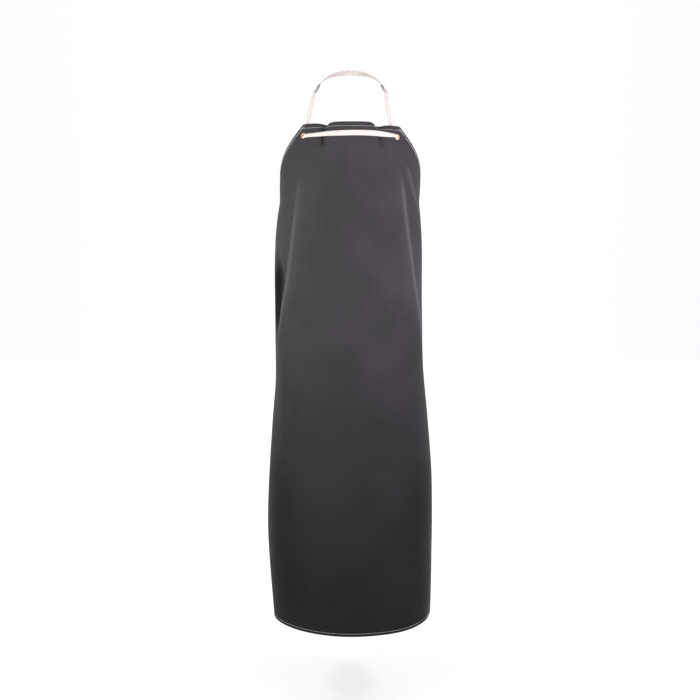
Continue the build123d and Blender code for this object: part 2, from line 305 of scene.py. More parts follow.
class Nodes:
    """A node tree, with short calls for the nodes that the finishes and the surroundings use."""

    def __init__(self, tree: bpy.types.NodeTree) -> None:
        """Take a tree to add to.

        Args:
            tree: the tree.
        """
        self.tree = tree

    def add(self, kind: str, **settings: object) -> bpy.types.Node:
        """Add a node and set its properties.

        Args:
            kind: Blender's name for the node's type.
            **settings: the properties to set.

        Returns:
            The node.
        """
        node = self.tree.nodes.new(kind)
        for key, value in settings.items():
            setattr(node, key, value)
        return node

    def feed(self, socket: bpy.types.NodeSocket, value: object) -> None:
        """Link or set an input.

        Args:
            socket: the input.
            value: another node's output, or a constant.
        """
        if isinstance(value, bpy.types.NodeSocket):
            self.tree.links.new(value, socket)
        else:
            socket.default_value = value

    def math(self, operation: str, first: object, second: object = 0.0) -> bpy.types.NodeSocket:
        """The result of one arithmetic step.

        Args:
            operation: Blender's name for it.
            first: its first input.
            second: its second input.

        Returns:
            The output socket.
        """
        node = self.add("ShaderNodeMath", operation=operation)
        self.feed(node.inputs[0], first)
        self.feed(node.inputs[1], second)
        return node.outputs[0]

    def noise(
        self, where: object, scale: float, detail: float = 3.0, rough: float = 0.5
    ) -> bpy.types.NodeSocket:
        """Smooth noise between 0 and 1.

        Args:
            where: the coordinates.
            scale: how many features fit in a metre.
            detail: how many finer layers it has.
            rough: how strong the finer layers are.

        Returns:
            The noise.
        """
        node = self.add("ShaderNodeTexNoise")
        self.feed(node.inputs["Vector"], where)
        self.feed(node.inputs["Scale"], scale)
        self.feed(node.inputs["Detail"], detail)
        self.feed(node.inputs["Roughness"], rough)
        return node.outputs["Fac"]

    def range(
        self, value: object, low: float, high: float, to_low: float, to_high: float, shape: str = "LINEAR"
    ) -> bpy.types.NodeSocket:
        """A value moved from one range to another, and kept inside it.

        Args:
            value: the value.
            low: the old range's start.
            high: the old range's end.
            to_low: the new range's start.
            to_high: the new range's end.
            shape: Blender's name for the way it moves between the two ends.

        Returns:
            The moved value.
        """
        node = self.add("ShaderNodeMapRange", interpolation_type=shape)
        ends = {"Value": value, "From Min": low, "From Max": high, "To Min": to_low, "To Max": to_high}
        for key, item in ends.items():
            self.feed(node.inputs[key], item)
        return node.outputs["Result"]

    def stretched(self, where: object, scale: Place) -> bpy.types.NodeSocket:
        """Coordinates scaled by a factor of their own on each axis.

        Args:
            where: the coordinates.
            scale: the factors.

        Returns:
            The scaled coordinates.
        """
        node = self.add("ShaderNodeMapping")
        self.feed(node.inputs["Vector"], where)
        self.feed(node.inputs["Scale"], scale)
        return node.outputs[0]

    def axis(self, where: object, letter: str) -> bpy.types.NodeSocket:
        """One axis of a set of coordinates.

        Args:
            where: the coordinates.
            letter: X, Y or Z.

        Returns:
            That axis.
        """
        parts = self.add("ShaderNodeSeparateXYZ")
        self.feed(parts.inputs[0], where)
        return parts.outputs[letter]

    def blend(self, share: object, first: object, second: object) -> bpy.types.NodeSocket:
        """A mix of two colours.

        Args:
            share: how much of the second one, 0 to 1.
            first: a colour.
            second: the other colour.

        Returns:
            The mixed colour.
        """
        node = self.add("ShaderNodeMix", data_type="RGBA")
        self.feed(node.inputs["Factor"], share)
        self.feed(node.inputs[6], first)
        self.feed(node.inputs[7], second)
        return node.outputs[2]

    def flat_axes(self) -> tuple[bpy.types.NodeSocket, bpy.types.NodeSocket, bpy.types.NodeSocket]:
        """The piece's place in the flat cloth.

        Returns:
            The whole vector, across, and along, in metres.
        """
        flat = self.add("ShaderNodeUVMap", uv_map="flat").outputs["UV"]
        return flat, self.axis(flat, "X"), self.axis(flat, "Y")

    def painted(self, name: str) -> bpy.types.NodeSocket:
        """A value that the mesh carries at its points."""
        return self.add("ShaderNodeAttribute", attribute_name=name).outputs["Fac"]

    def wave(self, value: object, pitch: float) -> bpy.types.NodeSocket:
        """A sine of a given pitch, between 0 and 1."""
        turned = self.math("SINE", self.math("MULTIPLY", value, math.tau / pitch))
        return self.range(turned, -1.0, 1.0, 0.0, 1.0)

    def weave(self, across: object, along: object, pitch: float) -> bpy.types.NodeSocket:
        """A plain weave, high where a warp and a weft thread both rise.

        Args:
            across: the place across the cloth.
            along: the place along it.
            pitch: how far apart the warp threads are; the weft is a tenth coarser.

        Returns:
            The weave's height, 0 to 1.
        """
        return self.math("MULTIPLY", self.wave(across, pitch), self.wave(along, pitch * 1.1))

    def bump(
        self, height: object, depth: float, strength: float = 1.0, below: object = None
    ) -> bpy.types.NodeSocket:
        """A bumped normal.

        Args:
            height: the height, 0 to 1.
            depth: what a height of 1 is, in metres.
            strength: how much of it shows.
            below: a coarser bumped normal under this one.

        Returns:
            The normal.
        """
        node = self.add("ShaderNodeBump")
        self.feed(node.inputs["Strength"], strength)
        self.feed(node.inputs["Distance"], depth)
        self.feed(node.inputs["Height"], height)
        if below is not None:
            self.feed(node.inputs["Normal"], below)
        return node.outputs["Normal"]


class Finish(Nodes):
    """A material with one shader, whose inputs are either fed by nodes or the same all over."""

    def __init__(self, name: str) -> None:
        """Start a material with only a Principled shader and its output.

        Args:
            name: the material's name.
        """
        self.material = bpy.data.materials.new(name)
        self.material.use_nodes = True
        super().__init__(self.material.node_tree)
        self.shader = self.tree.nodes["Principled BSDF"]

    def varied(self, values: dict[str, bpy.types.NodeSocket]) -> None:
        """Feed inputs of the shader from nodes.

        Args:
            values: each input's name and what feeds it.
        """
        for name, value in values.items():
            self.feed(self.shader.inputs[name], value)

    def plain(self, values: dict[str, float | Colour]) -> None:
        """Set inputs of the shader that are the same all over.

        Args:
            values: each input's name and its value.
        """
        for name, value in values.items():
            self.shader.inputs[name].default_value = value


@dataclass(frozen=True)
class CoatedCotton:
    """Charcoal rubber over plain-woven cotton: a fine weave showing through a dull, slightly waxy skin."""

    name: str = "coated_cotton"
    dark: Colour = (0.0335, 0.0328, 0.0330, 1.0)
    light: Colour = (0.0500, 0.0458, 0.0520, 1.0)
    scuff: Colour = (0.078, 0.073, 0.078, 1.0)
    # the pale tone of the painted highlight along the ridge tops
    highlight_tone: Colour = (0.092, 0.088, 0.093, 1.0)
    # near black: for the weave's gaps, the painted shade towards the hem and the painted shadow behind the
    # left ridge
    deep: Colour = (0.003, 0.003, 0.003, 1.0)
    hem_shade: float = 0.76  # painted shade: how far the cloth darkens towards its hem
    hem_drop: Span = (0.38, 1.18)
    hem_reach: Span = (0.22, 0.34)  # from the middle of the front, where that painted shade eases off
    thread_pitch: float = 0.9 * MM
    weave_depth: float = 0.11 * MM
    wave_depth: float = 0.8 * MM
    streak_scale: Place = (60.0, 4.0, 1.0)
    roughness: Span = (0.50, 0.66)

    def make(self) -> bpy.types.Material:
        """Build the material.

        Returns:
            The material.
        """
        n = Finish(self.name)
        flat, across, along = n.flat_axes()
        weave = n.weave(across, along, self.thread_pitch)
        cloud = n.noise(flat, 7.0, 4.0, 0.55)
        streak = n.noise(n.stretched(flat, self.streak_scale), 1.0, 3.0, 0.6)
        speck = n.noise(flat, 900.0, 2.0, 0.6)
        tone = n.math("ADD", n.math("MULTIPLY", cloud, 0.85), n.math("MULTIPLY", streak, 0.15))
        body = n.blend(n.range(tone, 0.3, 0.7, 0.0, 1.0), self.dark, self.light)
        wear_and_highlight = n.math("MULTIPLY", n.range(n.noise(flat, 22.0, 5.0, 0.65), 0.60, 0.78, 0.0, 0.5), weave)
        woven = n.blend(n.range(weave, 0.0, 1.0, 0.28, 0.0), body, self.deep)
        worn = n.blend(wear_and_highlight, woven, self.scuff)
        flecked = n.blend(n.range(speck, 0.62, 0.8, 0.0, 0.25), worn, self.scuff)
        # painted shade: darker towards the hem, easing off round the sides
        fall = n.range(n.math("MULTIPLY", along, -1.0), *self.hem_drop, 0.0, self.hem_shade)
        front = n.range(n.math("ABSOLUTE", across), *self.hem_reach, 1.0, 0.35)
        shaded = n.blend(n.math("MULTIPLY", fall, front), flecked, self.deep)
        # painted highlight along the ridge tops, read from the mesh
        highlighted = n.blend(n.painted(HIGHLIGHT_LAYER), shaded, self.highlight_tone)
        # painted shade: the painted shadow behind the left ridge and the darker low sides, read from the
        # mesh; the roughness rises there too
        painted_shade = n.painted(SHADE_LAYER)
        rough = n.range(tone, 0.3, 0.7, self.roughness[1], self.roughness[0])
        waves = n.bump(n.noise(flat, 26.0, 3.0, 0.5), self.wave_depth, 0.45)
        n.varied({
            "Base Color": n.blend(painted_shade, highlighted, self.deep),
            "Roughness": n.math("MAXIMUM", rough, painted_shade),
            "Normal": n.bump(weave, self.weave_depth, 0.7, waves),
        })
        n.plain({"Specular IOR Level": 0.08, "Sheen Weight": 0.03, "Sheen Roughness": 0.45})
        return n.material


@dataclass(frozen=True)
class ClothBack:
    """The apron's inner face: the uncoated side of the cotton, duller and a little lighter."""

    name: str = "coated_cotton_back"
    dark: Colour = (0.050, 0.048, 0.048, 1.0)
    light: Colour = (0.085, 0.080, 0.079, 1.0)
    thread_pitch: float = 0.9 * MM
    weave_depth: float = 0.12 * MM

    def make(self) -> bpy.types.Material:
        """Build the material.

        Returns:
            The material.
        """
        n = Finish(self.name)
        flat, across, along = n.flat_axes()
        weave = n.weave(across, along, self.thread_pitch)
        cloud = n.noise(flat, 40.0, 4.0)
        tone = n.math("ADD", n.math("MULTIPLY", weave, 0.6), n.math("MULTIPLY", cloud, 0.5))
        n.varied({
            "Base Color": n.blend(n.range(tone, 0.2, 0.8, 0.0, 1.0), self.dark, self.light),
            "Normal": n.bump(weave, self.weave_depth, 0.9),
        })
        n.plain({"Roughness": 0.85, "Sheen Weight": 0.25})
        return n.material


@dataclass(frozen=True)
class TwillTape:
    """Natural cotton twill tape: slanting ribs, small slubs and a faint pink cast."""

    name: str = "cotton_tape"
    shade: Colour = (0.53, 0.465, 0.42, 1.0)
    pale: Colour = (0.63, 0.58, 0.55, 1.0)
    rib_pitch: float = 1.1 * MM
    rib_depth: float = 0.12 * MM
    slub: float = 0.4 * MM

    def make(self) -> bpy.types.Material:
        """Build the material.

        Returns:
            The material.
        """
        n = Finish(self.name)
        flat, across, along = n.flat_axes()
        wobble = n.math("MULTIPLY", n.noise(flat, 300.0, 2.0), self.slub)
        slant = n.math("ADD", n.math("ADD", across, along), wobble)
        rib = n.wave(slant, self.rib_pitch)
        yarn = n.wave(across, self.rib_pitch * 0.6)
        height = n.math("ADD", n.math("MULTIPLY", rib, 0.75), n.math("MULTIPLY", yarn, 0.25))
        cloud = n.noise(flat, 60.0, 4.0, 0.6)
        tone = n.math("ADD", n.math("MULTIPLY", height, 0.45), n.math("MULTIPLY", cloud, 0.75))
        n.varied({
            "Base Color": n.blend(n.range(tone, 0.25, 0.85, 0.0, 1.0), self.shade, self.pale),
            "Normal": n.bump(height, self.rib_depth, 0.40),
        })
        n.plain({"Roughness": 0.82, "Sheen Weight": 0.3})
        return n.material


@dataclass(frozen=True)
class PaleThread:
    """Pale twisted sewing thread."""

    name: str = "pale_thread"
    shade: Colour = (0.42, 0.40, 0.39, 1.0)
    pale: Colour = (0.68, 0.66, 0.65, 1.0)
    twist_pitch: float = 0.5 * MM
    twist_depth: float = 0.08 * MM

    def make(self) -> bpy.types.Material:
        """Build the material.

        Returns:
            The material.
        """
        n = Finish(self.name)
        flat, across, along = n.flat_axes()
        ply = n.wave(n.math("ADD", across, along), self.twist_pitch)
        tone = n.math("ADD", n.math("MULTIPLY", ply, 0.6), n.math("MULTIPLY", n.noise(flat, 150.0), 0.4))
        n.varied({
            "Base Color": n.blend(tone, self.shade, self.pale),
            "Normal": n.bump(ply, self.twist_depth, 0.6),
        })
        n.plain({"Roughness": 0.7, "Sheen Weight": 0.2})
        return n.material


@dataclass(frozen=True)
class WornMetal:
    """Plated sheet metal: bright where it is rubbed, dull and a little darker in the hollows."""

    name: str
    dull: Colour
    bright: Colour
    roughness: Span = (0.24, 0.46)
    scratch_scale: Place = (400.0, 400.0, 3000.0)
    scratch_depth: float = 0.02 * MM

    def make(self) -> bpy.types.Material:
        """Build the material.

        Returns:
            The material.
        """
        n = Finish(self.name)
        place = n.add("ShaderNodeTexCoord").outputs["Object"]
        cloud = n.noise(place, 420.0, 4.0, 0.6)
        scratch = n.noise(n.stretched(place, self.scratch_scale), 1.0, 2.0, 0.5)
        edge = n.range(n.add("ShaderNodeNewGeometry").outputs["Pointiness"], 0.48, 0.56, 0.0, 0.6)
        tone = n.math("ADD", n.math("MULTIPLY", cloud, 0.8), edge)
        n.varied({
            "Base Color": n.blend(n.range(tone, 0.2, 0.9, 0.0, 1.0), self.dull, self.bright),
            "Roughness": n.range(cloud, 0.3, 0.7, self.roughness[1], self.roughness[0]),
            "Normal": n.bump(scratch, self.scratch_depth, 0.5),
        })
        n.plain({"Metallic": 1.0})
        return n.material


@dataclass(frozen=True)
class StudioPaper:
    """The pale seamless paper that the apron is shown on."""

    name: str = "studio_paper"
    tone: Colour = (0.90, 0.90, 0.90, 1.0)
    grain: float = 0.985  # how dark its grain is beside its tone
    glow: float = 0.45
    glow_reach: Span = (-0.6, 1.4)  # from front to back, where the glow comes in

    def make(self) -> bpy.types.Material:
        """Build the material.

        Returns:
            The material.
        """
        n = Finish(self.name)
        place = n.add("ShaderNodeTexCoord").outputs["Object"]
        darker = tuple(self.grain * c for c in self.tone[:3]) + (1.0,)
        n.varied({
            "Base Color": n.blend(n.noise(place, 6.0, 3.0, 0.5), darker, self.tone),
            "Emission Strength": n.range(n.axis(place, "Y"), *self.glow_reach, 0.0, self.glow),
        })
        n.plain({"Roughness": 0.9, "Emission Color": (1.0, 1.0, 1.0, 1.0)})
        return n.material


class Wardrobe:
    """Every finish, made once and handed to the pieces."""

    def __init__(self) -> None:
        """Make the finishes."""
        self.cloth = CoatedCotton().make()
        self.cloth_back = ClothBack().make()
        self.tape = TwillTape().make()
        self.thread = PaleThread().make()
        self.brass = WornMetal("satin_brass", (0.36, 0.22, 0.10, 1.0), (0.86, 0.64, 0.36, 1.0)).make()
        self.nickel = WornMetal("dull_nickel", (0.11, 0.108, 0.10, 1.0), (0.36, 0.36, 0.33, 1.0)).make()
        self.paper = StudioPaper().make()


# The cloth as it is worn


@dataclass(frozen=True)
class WornForm:
    """The body that the cloth wraps: level ellipses below the bib's top edge, in metres.

    A place in the flat cloth is (along, drop): along is measured level from the middle of the front,
    to the right as seen from the front, and drop is measured down from the bib's top edge.
    """

    top_z: float
    front_y: float
    half_widths: Line = (
        (0.0, 0.160), (0.07, 0.166), (0.17, 0.168), (0.26, 0.1750), (0.42, 0.1775), (0.55, 0.179),
        (0.68, 0.1878), (0.84, 0.1985), (0.94, 0.1998), (1.04, 0.1960), (1.14, 0.1910), (1.18, 0.1890),
    )
    half_depths: Line = (
        (0.0, 0.106), (0.07, 0.112), (0.17, 0.118), (0.42, 0.128), (0.68, 0.140), (0.94, 0.155),
        (1.18, 0.165),
    )
    sway: Line = (
        (0.0, 0.0), (0.10, 0.0), (0.22, -0.004), (0.50, -0.004), (0.62, -0.001), (0.80, 0.0008),
        (0.98, -0.0008), (1.18, 0.0030),
    )
    turns: int = 240  # steps in which the girth of one side is added up
    batch: int = 4096  # places worked out at a time

    def place(self, along: np.ndarray, drop: np.ndarray) -> tuple[np.ndarray, np.ndarray]:
        """Where flat places lie on the form.

        Args:
            along: distances along the cloth from the middle of the front.
            drop: distances below the top edge.

        Returns:
            The points, and the outward directions there, which are level.
        """
        a = through(self.half_widths, drop)
        b = through(self.half_depths, drop)
        angle = np.linspace(0.0, math.pi, self.turns + 1)
        middle = (angle[1:] + angle[:-1]) / 2
        theta = np.empty_like(along)
        for start in range(0, len(along), self.batch):
            part = slice(start, start + self.batch)
            step = angle[1] * np.hypot(a[part, None] * np.cos(middle), b[part, None] * np.sin(middle))
            girth = np.cumsum(step, axis=1)
            want = np.abs(along[part])
            i = np.minimum((girth < want[:, None]).sum(axis=1), self.turns - 1)
            rows = np.arange(len(want))
            before = np.where(i > 0, girth[rows, np.maximum(i - 1, 0)], 0.0)
            theta[part] = angle[i] + (want - before) / step[rows, i] * angle[1]
        sign = np.where(along < 0, -1.0, 1.0)
        x = sign * a * np.sin(theta) + through(self.sway, drop)
        y = self.front_y + b * (1.0 - np.cos(theta))
        points = np.stack([x, y, self.top_z - drop], axis=1)
        outward = np.stack([sign * np.sin(theta) / a, -np.cos(theta) / b, np.zeros_like(theta)], axis=1)
        return points, unit(outward)


@dataclass(frozen=True)
class Ridge:
    """A long fold that stands out from the cloth, with a painted highlight along its rounded top.

    Its line says how far from the middle of the front it runs at each drop.
    """

    side: Side
    line: Line
    height: float
    reaches: tuple[float, float]  # how far it falls away to the left and to the right
    rounding: float
    band: Band  # the drops between which it stands
    highlight_strength: float  # how strong the painted highlight on its top is
    highlight_widths: tuple[float, float]  # of the painted highlight, on its outer and its inner side
    highlight_band: Band
    halo: float = 0.0  # how much of the painted highlight spreads over the inner side
    halo_width: float = 15.0 * MM
    upper_highlight: float = 1.0  # the share of the painted highlight that its upper part has
    upper_end: Span = (0.16, 0.24)

    def off(self, along: np.ndarray, drop: np.ndarray) -> np.ndarray:
        """How far each place lies from the ridge's line, to the right of it."""
        return along - through(self.line, drop)

    def stand(self, along: np.ndarray, drop: np.ndarray) -> np.ndarray:
        """How far the ridge lifts the cloth at each place."""
        top = crest(self.off(along, drop), *self.reaches, self.rounding)
        return self.height * top * band(drop, *self.band)

    def wear_and_highlight(self, along: np.ndarray, drop: np.ndarray) -> np.ndarray:
        """The painted highlight along the ridge's top.

        Args:
            along: distances along the cloth from the middle of the front.
            drop: distances below the top edge.

        Returns:
            The share of the pale tone at each place.
        """
        outward = self.off(along, drop) * self.side.value
        outer, inner = (swell(outward, width) for width in self.highlight_widths)
        inner = (1.0 - self.halo) * inner + self.halo * swell(outward, self.halo_width)
        strength = self.upper_highlight + (1.0 - self.upper_highlight) * ease(drop, *self.upper_end)
        return self.highlight_strength * np.where(outward > 0, outer, inner) * strength * band(drop, *self.highlight_band)


@dataclass(frozen=True)
class Ripple:
    """A wave in the cloth, which comes in towards the sides and towards the hem."""

    height: float
    across: float  # how fast it turns along the cloth, in radians a metre
    down: float  # how fast it turns down the cloth
    start: float
    sides: Span  # the distances from the middle of the front over which it comes in
    drops: Span
    mirrored: bool = False

    def stand(self, along: np.ndarray, drop: np.ndarray) -> np.ndarray:
        """How far the wave lifts the cloth.

        Args:
            along: distances along the cloth from the middle of the front.
            drop: distances below the top edge.

        Returns:
            The distance outward at each place, in metres.
        """
        away = np.abs(along)
        turned = (away if self.mirrored else along) * self.across + drop * self.down + self.start
        return self.height * np.sin(turned) * ease(away, *self.sides) * ease(drop, *self.drops)


@dataclass(frozen=True)
class Drape:
    """How the cloth departs from the form: pleats at its top edge, folds at the sides, soft waves."""

    pleat_left: Line = ((0.0, -0.0555), (0.02, -0.0590), (0.05, -0.0610), (0.10, -0.063))
    pleat_right: Line = ((0.0, 0.0610), (0.02, 0.0635), (0.05, 0.0670), (0.10, 0.068))
    pleat_stand: float = 8.0 * MM
    pleat_end: Span = (0.018, 0.095)
    crease_depths: tuple[float, float] = (6.5 * MM, 3.5 * MM)  # left and right of the pleat
    crease_end: Span = (0.040, 0.056)
    lip: float = 14.0 * MM
    lean: float = math.radians(66.0)
    lean_shares: tuple[float, float] = (0.58, 0.72)  # in the left and the right valley
    right_sink: float = 4.4 * MM
    left_ridge: Ridge = Ridge(
        side=Side.LEFT,
        line=(
            (0.0, -0.110), (0.118, -0.1190), (0.198, -0.1260), (0.262, -0.1330), (0.326, -0.1425),
            (0.386, -0.1545), (0.430, -0.1690), (0.50, -0.190), (0.60, -0.215),
        ),
        height=8.5 * MM,
        reaches=(0.020, 0.040),
        rounding=2.5 * MM,
        band=(0.08, 0.16, 0.42, 0.60),
        highlight_strength=0.60,
        highlight_widths=(4.0 * MM, 5.0 * MM),
        highlight_band=(0.10, 0.16, 0.42, 0.52),
        halo=0.25,
        halo_width=14.0 * MM,
        upper_highlight=0.45,
    )
    right_ridge: Ridge = Ridge(
        side=Side.RIGHT,
        line=(
            (0.0, 0.104), (0.122, 0.1225), (0.178, 0.1325), (0.238, 0.1435), (0.290, 0.1535), (0.350, 0.1650),
            (0.416, 0.1830), (0.60, 0.225),
        ),
        height=7.0 * MM,
        reaches=(0.040, 0.022),
        rounding=2.5 * MM,
        band=(0.08, 0.16, 0.42, 0.60),
        highlight_strength=0.76,
        highlight_widths=(5.0 * MM, 5.0 * MM),
        highlight_band=(0.10, 0.16, 0.42, 0.52),
        halo=0.15,
        halo_width=16.0 * MM,
    )
    short_ridge: Ridge = Ridge(
        side=Side.RIGHT,
        line=((0.0, 0.112), (0.086, 0.1380), (0.114, 0.1480), (0.144, 0.1600), (0.168, 0.1720), (0.3, 0.25)),
        height=4.0 * MM,
        reaches=(0.012, 0.007),
        rounding=1.5 * MM,
        band=(0.085, 0.12, 0.16, 0.21),
        highlight_strength=0.5,
        highlight_widths=(6.0 * MM, 6.0 * MM),
        highlight_band=(0.085, 0.11, 0.145, 0.19),
    )
    hollow_line: Line = ((0.0, -0.23), (0.27, -0.203), (0.33, -0.186), (0.40, -0.190), (0.47, -0.200))
    hollow_depth: float = 9.0 * MM
    hollow_band: Band = (0.25, 0.34, 0.43, 0.50)
    hip_dent: float = 3.0 * MM  # on the left side
    waist_dent: float = 2.0 * MM  # on both sides
    broad_wave: float = 0.9 * MM
    cross_wave: float = 0.5 * MM
    flat_top: float = 0.02  # the waves fade within about this far of the top edge
    skirt_wave: Ripple = Ripple(3.5 * MM, 21.0, 0.0, 1.1, (0.05, 0.22), (0.45, 1.15))
    back_waves: tuple[Ripple, ...] = (
        Ripple(9.0 * MM, 48.0, 2.5, 0.0, (0.30, 0.42), (0.3, 0.9), mirrored=True),
        Ripple(8.5 * MM, 37.0, -3.0, 0.8, (0.262, 0.33), (0.28, 0.75)),
        Ripple(3.5 * MM, 71.0, 5.0, 0.0, (0.262, 0.33), (0.28, 0.75)),
    )
    edge_curl: float = 7.0 * MM
    curl_sides: Span = (0.425, 0.457)
    curl_drops: Span = (0.32, 1.1)
    low_side_shade: float = 0.66  # how dark the painted shade low on the sides is
    hollow_shadow: float = 0.92  # how dark the painted shadow in the hollow behind the left ridge is

    def stand(self, along: np.ndarray, drop: np.ndarray) -> np.ndarray:
        """How far the cloth stands off the form at each place, in metres."""
        return self._pleat(along, drop) + self._side_folds(along, drop) + self._waves(along, drop)

    def _pleat(self, along: np.ndarray, drop: np.ndarray) -> np.ndarray:
        """The flat pleat that stands forward at the middle of the bib's top edge, and its creases.

        Args:
            along: distances along the cloth from the middle of the front.
            drop: distances below the top edge.

        Returns:
            The distance outward at each place, in metres.
        """
        left = along - through(self.pleat_left, drop)
        right = along - through(self.pleat_right, drop)
        flat_part = ease(left, -1 * MM, 10 * MM) * (1.0 - ease(right, -9 * MM, 1 * MM))
        creases = self.crease_depths[0] * swell(left + 3 * MM, np.where(left < 0, 5 * MM, 4 * MM))
        creases = creases + self.crease_depths[1] * swell(right - 2 * MM, 6 * MM)
        pleat = self.pleat_stand * flat_part * (1.0 - ease(drop, *self.pleat_end))
        return pleat - creases * (1.0 - ease(drop, *self.crease_end))

    def _side_folds(self, along: np.ndarray, drop: np.ndarray) -> np.ndarray:
        """The long ridges where the front turns to the sides, and the hollows behind them.

        Args:
            along: distances along the cloth from the middle of the front.
            drop: distances below the top edge.

        Returns:
            The distance outward at each place, in metres.
        """
        ridges = (self.left_ridge, self.right_ridge, self.short_ridge)
        folds = sum(ridge.stand(along, drop) for ridge in ridges)
        away = along - through(self.hollow_line, drop)
        hollow = lopsided(away, 0.022, 0.017) * band(drop, *self.hollow_band)
        waist = swell(drop - 0.168, 0.022) * band(np.abs(along), 0.17, 0.22, 0.27, 0.32)
        hip = swell(along + 0.225, 0.03) * swell(drop - 0.62, 0.05)
        return folds - self.hollow_depth * hollow - self.hip_dent * hip - self.waist_dent * waist

    def _waves(self, along: np.ndarray, drop: np.ndarray) -> np.ndarray:
        """Soft waves all over, and the folds that hang from the back edges.

        Args:
            along: distances along the cloth from the middle of the front.
            drop: distances below the top edge.

        Returns:
            The distance outward at each place, in metres.
        """
        broad = np.sin(along * 19.0 + 3.0 * np.sin(drop * 4.0)) * np.sin(drop * 6.3 + along * 5.0)
        front = self.broad_wave * broad + self.cross_wave * np.sin(along * 41.0 - drop * 9.0)
        front = front + self.skirt_wave.stand(along, drop)
        back = sum(wave.stand(along, drop) for wave in self.back_waves)
        curl = self.edge_curl * ease(np.abs(along), *self.curl_sides) * ease(drop, *self.curl_drops)
        return front * (1.0 - swell(drop, self.flat_top)) + back - curl

    def shade(self, along: np.ndarray, drop: np.ndarray) -> np.ndarray:
        """Painted shade: a painted shadow in the hollow behind the left ridge, and darker cloth low on the
        sides.

        Args:
            along: distances along the cloth from the middle of the front.
            drop: distances below the top edge.

        Returns:
            The share of the dark tone at each place.
        """
        # painted shade low on the sides, towards the hem
        low_sides = self.low_side_shade * band(np.abs(along), 0.09, 0.20, 0.25, 0.34) * ease(drop, 0.55, 1.12)
        # painted shadow in the hollow behind the left ridge
        behind = -3.0 * MM - self.left_ridge.off(along, drop)
        top = 0.262 + 0.035 * swell(behind, 0.022) + 0.07 * ease(behind, 0.055, 0.130)
        wedge = band(behind, 0.0, 0.008, 0.050, 0.130)
        wedge = wedge * ease(drop - top, 0.0, 0.095) * (1.0 - ease(drop, 0.410, 0.560))
        return np.maximum(self.hollow_shadow * np.clip(1.1 * wedge, 0.0, 1.0), low_sides)

    def wear_and_highlight(self, along: np.ndarray, drop: np.ndarray) -> np.ndarray:
        """The painted highlight along the tops of the ridges.

        Args:
            along: distances along the cloth from the middle of the front.
            drop: distances below the top edge.

        Returns:
            The share of the pale tone at each place.
        """
        long = np.maximum(self.left_ridge.wear_and_highlight(along, drop), self.right_ridge.wear_and_highlight(along, drop))
        return np.clip(long + self.short_ridge.wear_and_highlight(along, drop), 0.0, 1.0)

    def lean_back(self, along: np.ndarray, drop: np.ndarray) -> tuple[np.ndarray, np.ndarray]:
        """How the top edge's lip leans back in the two valleys beside the pleat.

        Args:
            along: distances along the cloth from the middle of the front.
            drop: distances below the top edge.

        Returns:
            How far each place moves inward, and how far down, in metres.
        """
        share = self.lean_shares[0] * lopsided(along - self.pleat_left[0][1], 0.020, 0.015)
        share = share + self.lean_shares[1] * lopsided(along - self.pleat_right[0][1], 0.013, 0.018)
        turn = self.lean * np.clip(share, 0.0, 1.0)
        height = np.clip(self.lip - drop, 0.0, None)
        sink = self.right_sink * ease(along, 0.058, 0.075) * (1.0 - ease(drop, 0.0, 0.06))
        return height * np.sin(turn), height * (1.0 - np.cos(turn)) + sink


@dataclass
class Cloth:
    """The apron's cloth as a surface: flat places in, draped points out."""

    form: WornForm
    drape: Drape
    width: float = 0.914
    length: float = 1.180
    armhole_depth: float = 0.300
    top_half: float = 0.118
    armhole_slope: float = 1.02
    armhole_bend: float = 0.367
    left_corner_cut: float = 5.5 * MM
    hem_tilt: float = 0.008
    tilt_drops: Span = (0.9, 1.18)
    probe: float = 1.0 * MM  # the step over which the cloth's slope is read

    @property
    def area(self) -> float:
        """The flat cloth's area, less the two armholes.

        Returns:
            The area, in square metres.
        """
        depth = self.armhole_depth
        kept = self.top_half * depth + self.armhole_slope * depth**2 / 2 + self.armhole_bend * depth**3 / 3
        return self.width * self.length - 2 * (self.width / 2 * depth - kept)

    def half_width(self, drop: np.ndarray, side: np.ndarray | float = 1.0) -> np.ndarray:
        """The cloth's width on one side of its middle.

        Args:
            drop: distances below the top edge.
            side: negative on the left, where the bib's corner is cut back a little.

        Returns:
            The width at each drop.
        """
        armhole = self.top_half + self.armhole_slope * drop + self.armhole_bend * drop**2
        cut = self.left_corner_cut * (1.0 - ease(drop, 0.0, 0.07)) * (np.asarray(side) < 0)
        return np.where(drop < self.armhole_depth, np.minimum(armhole, self.width / 2), self.width / 2) - cut

    def points(self, along: np.ndarray, drop: np.ndarray) -> np.ndarray:
        """The draped cloth's outer face.

        Args:
            along: distances along the cloth from the middle of the front.
            drop: distances below the top edge.

        Returns:
            One point for each place.
        """
        along, drop = np.asarray(along, float), np.asarray(drop, float)
        points, outward = self.form.place(along, drop)
        inward, down = self.drape.lean_back(along, drop)
        points = points + outward * (self.drape.stand(along, drop) - inward)[:, None]
        points[:, 2] -= down + self.hem_tilt * points[:, 0] * ease(drop, *self.tilt_drops)
        return points

    def faces_out(self, along: np.ndarray, drop: np.ndarray) -> np.ndarray:
        """The draped cloth's outward direction.

        Args:
            along: distances along the cloth from the middle of the front.
            drop: distances below the top edge.

        Returns:
            One direction of length 1 for each place.
        """
        across = self.points(along + self.probe, drop) - self.points(along - self.probe, drop)
        downward = self.points(along, drop + self.probe) - self.points(along, drop - self.probe)
        return unit(np.cross(downward, across))

    def lifted(self, along: np.ndarray, drop: np.ndarray, lift: float | np.ndarray) -> np.ndarray:
        """Points that stand off the cloth's outer face by lift, which is negative behind it."""
        along, drop = np.asarray(along, float), np.asarray(drop, float)
        return self.points(along, drop) + self.faces_out(along, drop) * np.reshape(lift, (-1, 1))


class Edge(Enum):
    """The edges of the panel."""

    TOP = "top"
    LEFT_ARMHOLE = "left_armhole"
    RIGHT_ARMHOLE = "right_armhole"
    LEFT_SIDE = "left_side"
    RIGHT_SIDE = "right_side"
    BOTTOM = "bottom"


